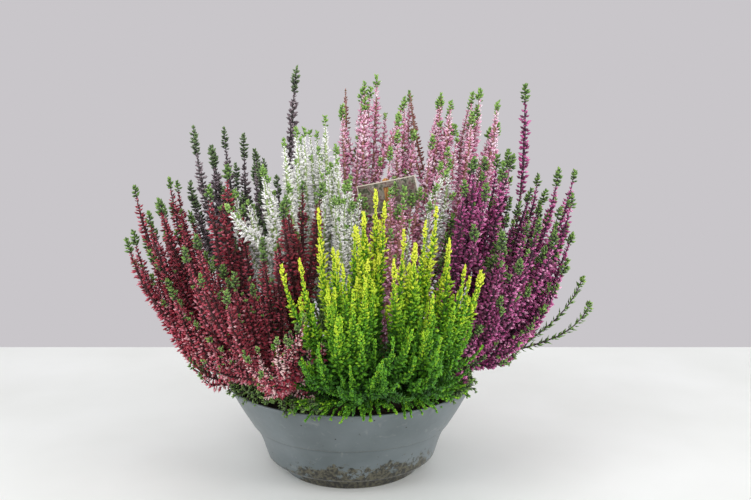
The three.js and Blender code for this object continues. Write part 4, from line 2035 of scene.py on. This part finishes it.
CRIMSON = Habit(
    flowering_layers(
        Organ(
            length=5.2, width=2.3, thickness=2.2, pitch=2.2, per_whorl=4, start_spread=40,
            full_spread=76, loose=26, shade=0.44, shade_range=0.36,
        ),
        PlantTissue(
            "sepals_crimson", ("#420f16", "#721626", "#9a2036", "#b63e52", "#d0788a", "#eccfcb"),
            "#4a201c", tip="#ba4c5c", tip_share=0.2,
        ),
        GREEN_LEAF,
    ),
    ShootBark("shoot_bark_crimson", young="#3c171a"),
    green=8.5,
    tone_by_reach=0.25,
    tone_by_height=-0.22,
    inner_green=0.2,
    infill=80,
    skirt=28,
    skirt_flowers=0.85,
    skirt_tone=0.3,
    fringe=70,
)
DUSKY = Habit(
    flowering_layers(
        Organ(
            length=5.8, width=3.0, thickness=2.7, pitch=2.4, per_whorl=4, start_spread=35,
            full_spread=64, loose=24, shade_range=0.38,
        ),
        PlantTissue(
            "sepals_dusky", ("#382d33", "#57474e", "#74636b", "#93838a", "#b5aaae"), "#46453a",
            tip="#958890", tip_share=0.2,
        ),
        DARK_LEAF,
    ),
    ShootBark("shoot_bark_dusky", young="#3a3634"),
    green=19,
    depth=(0.6, 0.88),
    infill=44,
    skirt=14,
)
WHITE = Habit(
    flowering_layers(
        Organ(
            length=6.2, width=2.8, thickness=2.5, pitch=2.3, per_whorl=4, start_spread=36,
            full_spread=70, ramp=26, loose=26, shade=0.94, shade_range=0.24,
        ),
        PlantTissue(
            "sepals_white", ("#ccdaa0", "#e8f0cc", "#f7f9e8", "#fdfef4", "#ffffff"), "#a4bc72",
            tip="#ffffff", glow=0.3,
        ),
        FRESH_LEAF,
    ),
    ShootBark("shoot_bark_white", young="#a3ba78"),
    green=5.5,
    flowering=105,
    infill=66,
    skirt=0,
    fringe=0,
)
PINK = Habit(
    flowering_layers(
        Organ(
            length=6.0, width=3.0, thickness=2.7, pitch=2.5, per_whorl=4, start_spread=40,
            full_spread=66, ramp=26, loose=22, shade=0.7, shade_range=0.42,
        ),
        PlantTissue(
            "sepals_pink", ("#86523a", "#ca7c9c", "#e89cbe", "#f4bcd6", "#fce4ee"), "#a87c64",
            tip="#f9d0e2", tip_share=0.2, glow=0.3,
        ),
        FRESH_LEAF,
    ),
    ShootBark("shoot_bark_pink", young="#9a7464"),
    green=8,
    flowering=105,
    depth=(0.62, 0.9),
    infill=60,
    skirt=12,
)
PURPLE = Habit(
    flowering_layers(
        Organ(
            length=5.0, width=2.7, thickness=2.5, pitch=2.9, per_whorl=4, start_spread=36,
            full_spread=68, loose=20, shade=0.46, shade_range=0.38,
        ),
        PlantTissue(
            "sepals_purple", ("#44142f", "#7a2258", "#aa3a7e", "#d06ca8", "#f0bcd4"), "#4c2436",
            tip="#cf76a8", tip_share=0.2,
        ),
        GREEN_LEAF,
    ),
    ShootBark("shoot_bark_purple", young="#3a1c30"),
    tone_by_reach=0.2,
    inner_green=0.45,
    infill=84,
    skirt=18,
)
LIME = Habit(
    (
        Layer(
            Organ(
                length=6.0, width=2.8, thickness=2.2, pitch=2.6, per_whorl=4, start_spread=26,
                full_spread=70, ramp=26, small=0.45, loose=20, curl=1.0, fullness=0.7, shade=0.84,
                shade_fall=-0.0105, shade_range=0.14,
            ),
            Zone.FLOWERS, Strip.BUD, LIME_LEAF,
        ),
        Layer(
            Organ(
                length=3.4, width=2.2, thickness=1.7, pitch=1.6, per_whorl=4, start_spread=20,
                full_spread=46, ramp=8, small=0.8, fade=1, loose=14, curl=0.3, fullness=0.9,
                shade=0.84, shade_range=0.12, toned=1.4,
            ),
            Zone.TIP, Strip.LEAF, LIME_LEAF,
        ),
        Layer(
            Organ(
                length=3.6, width=2.0, thickness=1.4, pitch=2.6, per_whorl=4, start_spread=24,
                full_spread=44, ramp=14, small=0.8, fade=4, loose=18, curl=0.9, fullness=1.0,
                shade=0.6, shade_fall=-0.007, shade_range=0.14, toned=0.6,
            ),
            Zone.ALL_BELOW_TIP, Strip.LEAF, LIME_LEAF,
        ),
    ),
    ShootBark("shoot_bark_lime", young="#3f6a1c"),
    flowering=105,
    spike=105,
    tone_by_height=0.6,
    inner_green=0.8,
    infill=70,
    skirt=34,
    skirt_flowers=1.0,
    fringe=92,
)

PLANTS = (
    HeatherPlant(
        "crimson", (-43, -20),
        (
            ((-165, -20, 178), (-168, 5, 181)),
            ((-164, 0, 216), (-147, -25, 199), (-152, 38, 196)),
            ((-140, 10, 221), (-143, -8, 206), (-138, 25, 219)),
            ((-79, -90, 152), (-98, -80, 162), (-77, -70, 161), (-108, -45, 184), (-113, -60, 177)),
            ((-101, -31, 218), (-78, -22, 203), (-93, -4, 232)),
            ((-65, -69, 153), (-62, -39, 182)),
            ((-33, -38, 221), (-45, -56, 208), (-20, -42, 220)),
            ((-42, -124, 130), (-37, -118, 130), (-54, -112, 89)),
            ((-117, -35, 86), (-106, -52, 84)),
        ),
        CRIMSON, seed=11, facing=222, sector=40, skirt_reach=(86.0, 104.0), faded=(7,),
        filling=(
            (-162, -15, 162), (-150, -12, 150), (-140, -20, 132), (-148, 5, 203),
            (-109, -40, 182), (-153, -5, 168),
            (-144, -15, 162), (-136, -20, 148), (-125, -30, 134), (-159, 5, 176),
            (-155, 10, 186), (-140, 15, 202), (-126, 15, 195), (-109, -10, 166),
            (-103, -20, 160), (-142, 0, 181), (-135, 5, 182), (-92, -35, 161), (-99, -30, 166),
            (-94, -45, 142), (-87, -40, 151), (-104, -40, 138), (-110, -45, 121), (-97, -60, 113),
            (-87, -70, 109), (-119, -40, 125),
            (-80, -85, 151), (-44, -45, 212), (-59, -60, 176), (-36, -108, 124),
            (-32, -100, 131), (-53, -115, 105), (-97, -80, 103), (-127, -45, 146),
            (-63, -108, 113),
        ),
        fading=(
            ((-65, -100, 87), (-66, -105, 116)), ((-28, -112, 117), (-26, -112, 142)),
            ((-54, -108, 91), (-56, -112, 121)),
        ),
    ),
    HeatherPlant(
        "dusky", (-36, 30),
        (
            ((-126, 35, 261), (-126, 18, 218), (-114, 48, 246)),
            ((-107, 62, 261), (-89, 50, 256), (-102, 85, 231)),
            ((-46, 62, 310), (-62, 48, 222)),
            ((-75, 65, 235), (-85, 80, 231)),
            ((-118, 98, 214), (-98, 118, 196), (-140, 78, 188)),
            ((-52, 120, 222), (-28, 126, 204), (-74, 132, 186)),
        ),
        DUSKY, seed=12, facing=135, sector=45, early={2: (2.0, 2.6)},
        filling=(
            (-115, 48, 245), (-128, 40, 204), (-104, 40, 213), (-76, 50, 232), (-91, 40, 204),
        ),
    ),
    HeatherPlant(
        "white", (0, 0),
        (
            ((-66, 0, 230), (-88, -1, 214)),
            ((-51, 8, 251), (-47, 2, 218)),
            ((-43, 24, 260), (-37, 25, 260)),
            ((-22, 49, 270), (-29, 52, 258), (-12, 20, 247)),
            ((0, 0, 224), (-11, -25, 209)),
            ((77, 16, 235), (60, -4, 204)),
        ),
        WHITE, seed=13,
        filling=(
            (-54, 38, 248), (-35, 55, 259), (-11, 25, 245), (-90, -5, 202), (-1, -5, 220),
            (-18, 10, 230), (-40, 20, 222), (-67, 5, 231), (-63, 0, 224), (-42, 45, 253),
            (-27, 40, 245), (-16, 20, 233), (-4, 0, 219), (1, -10, 204), (-9, -5, 208),
            (-20, 5, 215),
        ),
        aimed=(
            ((48, 5, 182), (73, 5, 228)), ((42, 0, 179), (65, 0, 217)),
            ((54, 8, 176), (79, 8, 210)), ((58, 10, 187), (69, 10, 231)),
            ((-67, -50, 167), (-85, -44, 205)), ((-62, -46, 172), (-79, -42, 199)),
            ((1, -14, 162), (7, -6, 210)), ((6, -16, 157), (11, -8, 197)),
        ),
    ),
    HeatherPlant(
        "pink", (16, 46),
        (
            ((-8, 55, 280), (-6, 70, 293)),
            ((10, 58, 298), (20, 70, 304)),
            ((43, 62, 286), (37, 45, 258), (48, 80, 292), (50, 68, 260)),
            ((73, 60, 289), (80, 50, 282), (77, 35, 245)),
            ((99, 62, 290), (107, 75, 293), (97, 45, 273)),
            ((119, 55, 282), (122, 70, 265), (128, 88, 222)),
            ((30, -22, 216), (39, -30, 208), (30, -40, 188)),
            ((44, 124, 226), (72, 116, 238), (16, 128, 212), (98, 112, 206)),
        ),
        PINK, seed=14, facing=72, sector=40, deep=(6,),
        aimed=(
            ((2, 60, 221), (8, 60, 292)), ((8, 62, 245), (15, 62, 294)),
            ((4, 52, 228), (11, 52, 285)), ((-3, 58, 226), (-9, 58, 277)),
            ((29, 60, 228), (41, 60, 282)), ((33, 50, 237), (39, 50, 271)),
            ((46, 56, 224), (51, 56, 258)), ((62, 62, 218), (72, 62, 286)),
            ((68, 60, 216), (80, 60, 276)), ((73, 52, 220), (84, 52, 263)),
            ((83, 66, 232), (98, 66, 283)), ((91, 58, 216), (99, 58, 271)),
            ((99, 66, 219), (104, 66, 279)), ((110, 60, 220), (119, 60, 276)),
        ),
        withered=(((55, 68, 226), (48, 68, 289)),),
        dried=((-6, 70, 293),),
        filling=(
            (38, 55, 272), (51, 50, 258), (31, 30, 245), (2, 60, 245),
            (73, 65, 286), (82, 60, 264), (65, 40, 254), (69, 10, 234), (53, 0, 215),
            (23, 40, 237), (114, 60, 261), (34, 5, 218), (41, -2, 215), (28, -10, 204),
            (47, 0, 210), (36, -15, 201), (53, 10, 214), (11, 0, 207),
        ),
    ),
    HeatherPlant(
        "purple", (48, 4),
        (
            ((138, 38, 294), (152, 47, 223), (150, 74, 206)),
            ((123, 22, 243), (116, 0, 234)),
            ((103, 8, 237), (115, 25, 239), (93, -5, 238)),
            ((84, -22, 221), (100, -25, 219)),
            ((162, 18, 228), (179, 36, 227)),
            ((169, 0, 209), (151, -25, 185)),
            ((137, -35, 195), (108, -50, 186), (88, -50, 191), (120, -55, 168)),
            ((183, 15, 144), (183, -8, 128), (116, -25, 87)),
        ),
        PURPLE, seed=15, facing=355, sector=40, early={0: (0.9, 1.04)}, bare=(7,),
        fading=(((145, 26, 173), (151, 26, 197)), ((148, 20, 178), (155, 20, 190))),
        filling=(
            (171, 5, 179), (165, -5, 160), (157, -10, 142), (147, -15, 127), (136, -22, 114),
            (125, -30, 102), (113, -38, 91), (94, 10, 237), (125, 10, 240), (155, 30, 212),
            (132, -20, 191), (122, -40, 164), (107, -55, 141), (92, -60, 121), (130, -35, 144),
            (78, 5, 179), (73, -10, 169), (114, 5, 174), (108, -5, 163), (125, 20, 206),
            (132, 20, 202), (143, 28, 213), (149, 22, 202), (155, 18, 194), (163, 12, 199),
            (167, 8, 187), (143, 5, 180), (149, 0, 169), (158, 0, 165), (134, 5, 176),
            (164, 5, 176), (74, 5, 180), (79, 8, 194), (69, 0, 160), (74, -5, 148), (65, -5, 139),
            (81, 5, 168), (61, -10, 128), (86, 8, 182), (75, -15, 133), (69, -20, 120),
            (115, 15, 189), (119, 12, 178), (111, 8, 173), (123, 18, 193), (116, 5, 164),
            (110, 12, 187), (105, 0, 160), (118, 0, 153),
        ),
    ),
    HeatherPlant(
        "lime", (19, -45),
        (
            ((-30, -92, 174), (-42, -92, 170), (-27, -115, 114)),
            ((-18, -82, 181), (-6, -85, 178), (-20, -62, 205)),
            ((-2, -97, 171), (5, -112, 157)),
            ((19, -56, 217), (25, -62, 209), (11, -66, 203), (7, -78, 193), (14, -97, 174)),
            ((38, -76, 191), (31, -97, 174), (22, -132, 115)),
            ((53, -66, 196), (61, -58, 205), (45, -82, 183)),
            (
                (79, -76, 167), (69, -70, 184), (91, -66, 162), (56, -102, 152), (70, -96, 143),
                (57, -122, 120),
            ),
        ),
        LIME, seed=16, facing=288, sector=42,
        aimed=(
            ((-12, -106, 78), (-28, -116, 112)), ((5, -108, 78), (3, -118, 110)),
            ((20, -108, 78), (23, -120, 114)), ((31, -104, 80), (30, -116, 128)),
            ((56, -92, 79), (58, -100, 116)), ((-6, -106, 88), (-5, -114, 139)),
            ((12, -107, 82), (10, -116, 131)), ((71, -71, 86), (81, -77, 118)),
            ((-19, -102, 80), (-17, -110, 123)), ((43, -100, 78), (44, -112, 114)),
            ((50, -95, 82), (50, -104, 128)), ((-1, -100, 87), (-10, -106, 122)),
            ((68, -74, 78), (71, -80, 103)),
        ),
        filling=(
            (46, -78, 182), (70, -60, 182), (93, -62, 159), (83, -80, 125), (82, -75, 145),
            (79, -95, 101), (56, -98, 150), (60, -112, 108), (42, -115, 133), (32, -126, 102),
            (21, -124, 113), (-4, -124, 99), (-17, -120, 121), (-6, -118, 135),
            (-28, -112, 111), (-30, -95, 149), (12, -100, 159), (9, -124, 91), (42, -122, 92),
            (68, -108, 91), (61, -108, 126), (5, -68, 193), (-12, -100, 155),
        ),
    ),
)


# ---------------------------------------------------------------------------
# Label
# ---------------------------------------------------------------------------


@dataclass
class LabelStake:
    """A flat wooden stake with a rounded head and a point in the soil."""

    x: float = 27.0
    y: float = 22.0
    width: float = 6.0
    thickness: float = 1.6
    top: float = 223.0
    bottom: float = 34.0
    point: float = 9.0
    arc_steps: int = 12
    edge_radius: float = 0.25

    def build(self) -> None:
        """Builds the stake as a bevelled plate."""
        half = self.width / 2
        outline = [(0.0, self.bottom), (half, self.bottom + self.point)]
        for i in range(self.arc_steps + 1):
            angle = math.pi * i / self.arc_steps
            outline.append((half * math.cos(angle), self.top - half + half * math.sin(angle)))
        outline.append((-half, self.bottom + self.point))
        build = bmesh.new()
        face = build.faces.new([
            build.verts.new(((self.x + u) * MM, (self.y - self.thickness / 2) * MM, v * MM))
            for u, v in outline
        ])
        raised = bmesh.ops.extrude_face_region(build, geom=[face])["geom"]
        verts = [v for v in raised if isinstance(v, bmesh.types.BMVert)]
        bmesh.ops.translate(build, verts=verts, vec=(0, self.thickness * MM, 0))
        piece = link_object("stake_wood", mesh_of("stake_wood", build))
        bevel = piece.modifiers.new("edges", "BEVEL")
        bevel.width = self.edge_radius * MM
        bevel.segments = 2
        bevel.limit_method = "ANGLE"
        flatten(piece)
        for polygon in piece.data.polygons:
            polygon.use_smooth = False
        piece.data.materials.append(SawnPine().material())
        hand_in(piece, "label_wood", "label_stake")


@dataclass
class LabelCard:
    """A thin blank card, bowed a little, against the front of the stake, which its slot shows."""

    x: float = 27.0
    back: float = 20.6  # the y of its back face's middle
    width: float = 47.0
    height: float = 24.0
    thickness: float = 0.8
    bow: float = 2.4
    tilt: float = 11.0
    top: float = 221.0
    steps: int = 48
    rows: int = 24
    slot_steps: int = 6  # its slot's width, in the middle
    slot_rows: tuple[int, int] = (5, 20)
    crease: float = 40.0  # degrees, over which an edge is sharp

    def place(self, across: float, down: float, depth: float) -> Vector:
        """A place on the card.

        Args:
            across: From its left edge at nought to its right at one.
            down: From its top at nought to its foot at one.
            depth: From its front at nought to its back at one.

        Returns:
            The place in metres.
        """
        u = self.width * (across - 0.5)
        bend = self.bow - self.thickness - self.bow * (1 - (2 * u / self.width) ** 2)
        turned = Matrix.Rotation(math.radians(-self.tilt), 3, "Y") @ Vector((
            u, bend + depth * self.thickness, -self.height * down
        ))
        return (turned + Vector((self.x, self.back, self.top))) * MM

    def covered(self, column: int, row: int) -> bool:
        """Whether there is board in a cell of the card's grid.

        Args:
            column: The cell's place from the left.
            row: The cell's place from the top.

        Returns:
            False beside the card and in its slot.
        """
        if not (0 <= column < self.steps and 0 <= row < self.rows):
            return False
        in_slot = abs(column + 0.5 - self.steps / 2) < self.slot_steps / 2
        return not (in_slot and self.slot_rows[0] <= row < self.slot_rows[1])

    def build(self) -> None:
        """Builds the card as a bent slab whose rim has the bare board's finish."""
        build = bmesh.new()
        from_edge = build.verts.layers.float.new("from_edge")
        front: dict[tuple[int, int], bmesh.types.BMVert] = {}
        back: dict[tuple[int, int], bmesh.types.BMVert] = {}
        for sheet, depth in ((front, 0.0), (back, 1.0)):
            for j in range(self.rows + 1):
                for i in range(self.steps + 1):
                    vert = build.verts.new(self.place(i / self.steps, j / self.rows, depth))
                    across = min(i, self.steps - i) / self.steps * self.width
                    down = min(j, self.rows - j) / self.rows * self.height
                    vert[from_edge] = min(across, down) * MM
                    sheet[i, j] = vert
        for i in range(self.steps):
            for j in range(self.rows):
                if not self.covered(i, j):
                    continue
                corners = [(i, j), (i + 1, j), (i + 1, j + 1), (i, j + 1)]
                for sheet in (front, back):
                    build.faces.new([sheet[corner] for corner in corners])
                beyond = [(i, j - 1), (i + 1, j), (i, j + 1), (i - 1, j)]
                for side, (a, b) in zip(beyond, zip(corners, corners[1:] + corners[:1])):
                    if not self.covered(*side):
                        rim = (front[a], front[b], back[b], back[a])
                        build.faces.new(rim).material_index = 1
        loose = [vert for vert in build.verts if not vert.link_faces]
        bmesh.ops.delete(build, geom=loose, context="VERTS")
        mesh = mesh_of("card_sheet", build)
        finish = CoatedCard()
        mesh.materials.append(finish.material())
        mesh.materials.append(finish.edge())
        mesh.set_sharp_from_angle(angle=math.radians(self.crease))
        hand_in(link_object("card_sheet", mesh), "label_card", "label_card")


# ---------------------------------------------------------------------------
# Studio
# ---------------------------------------------------------------------------


@dataclass(frozen=True)
class SoftBox:
    """A square area light: where it stands, its side and its power in watts."""

    name: str
    place: Point
    side: float
    power: float
    colour: str = "#ffffff"


@dataclass
class Studio:
    """A pale table, a plain grey surround, soft lights and the camera."""

    eye: Point = (19.0, -594.0, 250.6)
    pitch_down: float = 7.83
    lens: float = 37.39
    sensor: float = 36.0
    table_back: float = 346.0
    table_side: float = 6000.0
    surround: str = "#c9c6ca"
    surround_strength: float = 1.0
    aim: Point = (0.0, 0.0, 130.0)
    boxes: tuple[SoftBox, ...] = (
        SoftBox("key_box", (-900.0, -900.0, 1300.0), 900.0, 5.0),
        SoftBox("fill_box", (1100.0, -700.0, 900.0), 900.0, 2.5),
        SoftBox("front_box", (100.0, -1500.0, 800.0), 700.0, 4.5),
        SoftBox("left_low_box", (-1200.0, -500.0, 250.0), 500.0, 6.8),
        SoftBox("right_low_box", (1200.0, -500.0, 250.0), 500.0, 8.5),
        SoftBox("top_box", (0.0, 200.0, 1500.0), 1200.0, 4.0),
        SoftBox("back_box", (300.0, 1400.0, 900.0), 900.0, 2.0),
    )

    def build(self) -> None:
        """Builds the table, the surround, the lights and the camera."""
        scene = bpy.context.scene
        scene.view_settings.view_transform = "Standard"
        self.build_table()
        world = bpy.data.worlds.new("surround")
        world.use_nodes = True
        background = world.node_tree.nodes["Background"]
        background.inputs["Color"].default_value = linear(self.surround)
        background.inputs["Strength"].default_value = self.surround_strength
        scene.world = world
        for box in self.boxes:
            self.build_box(box)
        camera = bpy.data.cameras.new("camera")
        camera.lens = self.lens
        camera.sensor_width = self.sensor
        viewer = bpy.data.objects.new("camera", camera)
        viewer.location = Vector(self.eye) * MM
        viewer.rotation_euler = (math.radians(90 - self.pitch_down), 0, 0)
        scene.collection.objects.link(viewer)
        scene.camera = viewer

    def build_table(self) -> None:
        """Builds the table's top, whose far edge is just behind the planting."""
        side, back = self.table_side / 2, self.table_back
        mesh = bpy.data.meshes.new("table")
        corners = [(-side, back - 2 * side), (side, back - 2 * side), (side, back), (-side, back)]
        mesh.from_pydata([(x * MM, y * MM, 0) for x, y in corners], [], [(0, 1, 2, 3)])
        mesh.materials.append(PaintedBoard().material())
        link_object("table", mesh)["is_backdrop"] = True

    def build_box(self, box: SoftBox) -> None:
        """Builds one light that faces the planting.

        Args:
            box: The light.
        """
        light = bpy.data.lights.new(box.name, "AREA")
        light.size = box.side * MM
        light.energy = box.power
        light.color = linear(box.colour)[:3]
        lamp = bpy.data.objects.new(box.name, light)
        lamp.location = Vector(box.place) * MM
        beam = Vector(self.aim) - Vector(box.place)
        lamp.rotation_euler = beam.to_track_quat("-Z", "Y").to_euler()
        bpy.context.scene.collection.objects.link(lamp)


# ---------------------------------------------------------------------------
# Assembly
# ---------------------------------------------------------------------------


def main() -> None:
    """Builds every piece around the frame."""
    logging.basicConfig(level=logging.INFO, format="%(message)s", stream=sys.stdout)
    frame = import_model()
    Studio().build()
    PlanterBowl().build()
    crumbs = CrumbTree().build()
    peat = PeatCompost().material()
    soil = PeatFill(
        "potting_soil", "peat_fill", "potting_soil", cell=2.4, roughness=3.0, crumbs=0.012
    )
    soil.build(frame, crumbs, peat, seed=1)
    organs, stems = OrganTree().build(), StemTree().build()
    for i, plant in enumerate(PLANTS):
        ball = PeatFill(
            f"root_ball_{plant.name}", f"rooted_peat_{plant.name}", "root_ball", cell=2.2,
            roughness=2.0, crumbs=0.03,
        )
        ball.build(frame, crumbs, peat, seed=10 + i)
        plant.build(organs, stems)
    LabelStake().build()
    LabelCard().build()
    faces = sum(len(p.vertices) - 2 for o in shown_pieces() for p in o.data.polygons)
    log.info("triangles in all: %d", faces)


if __name__ == "__main__":
    main()
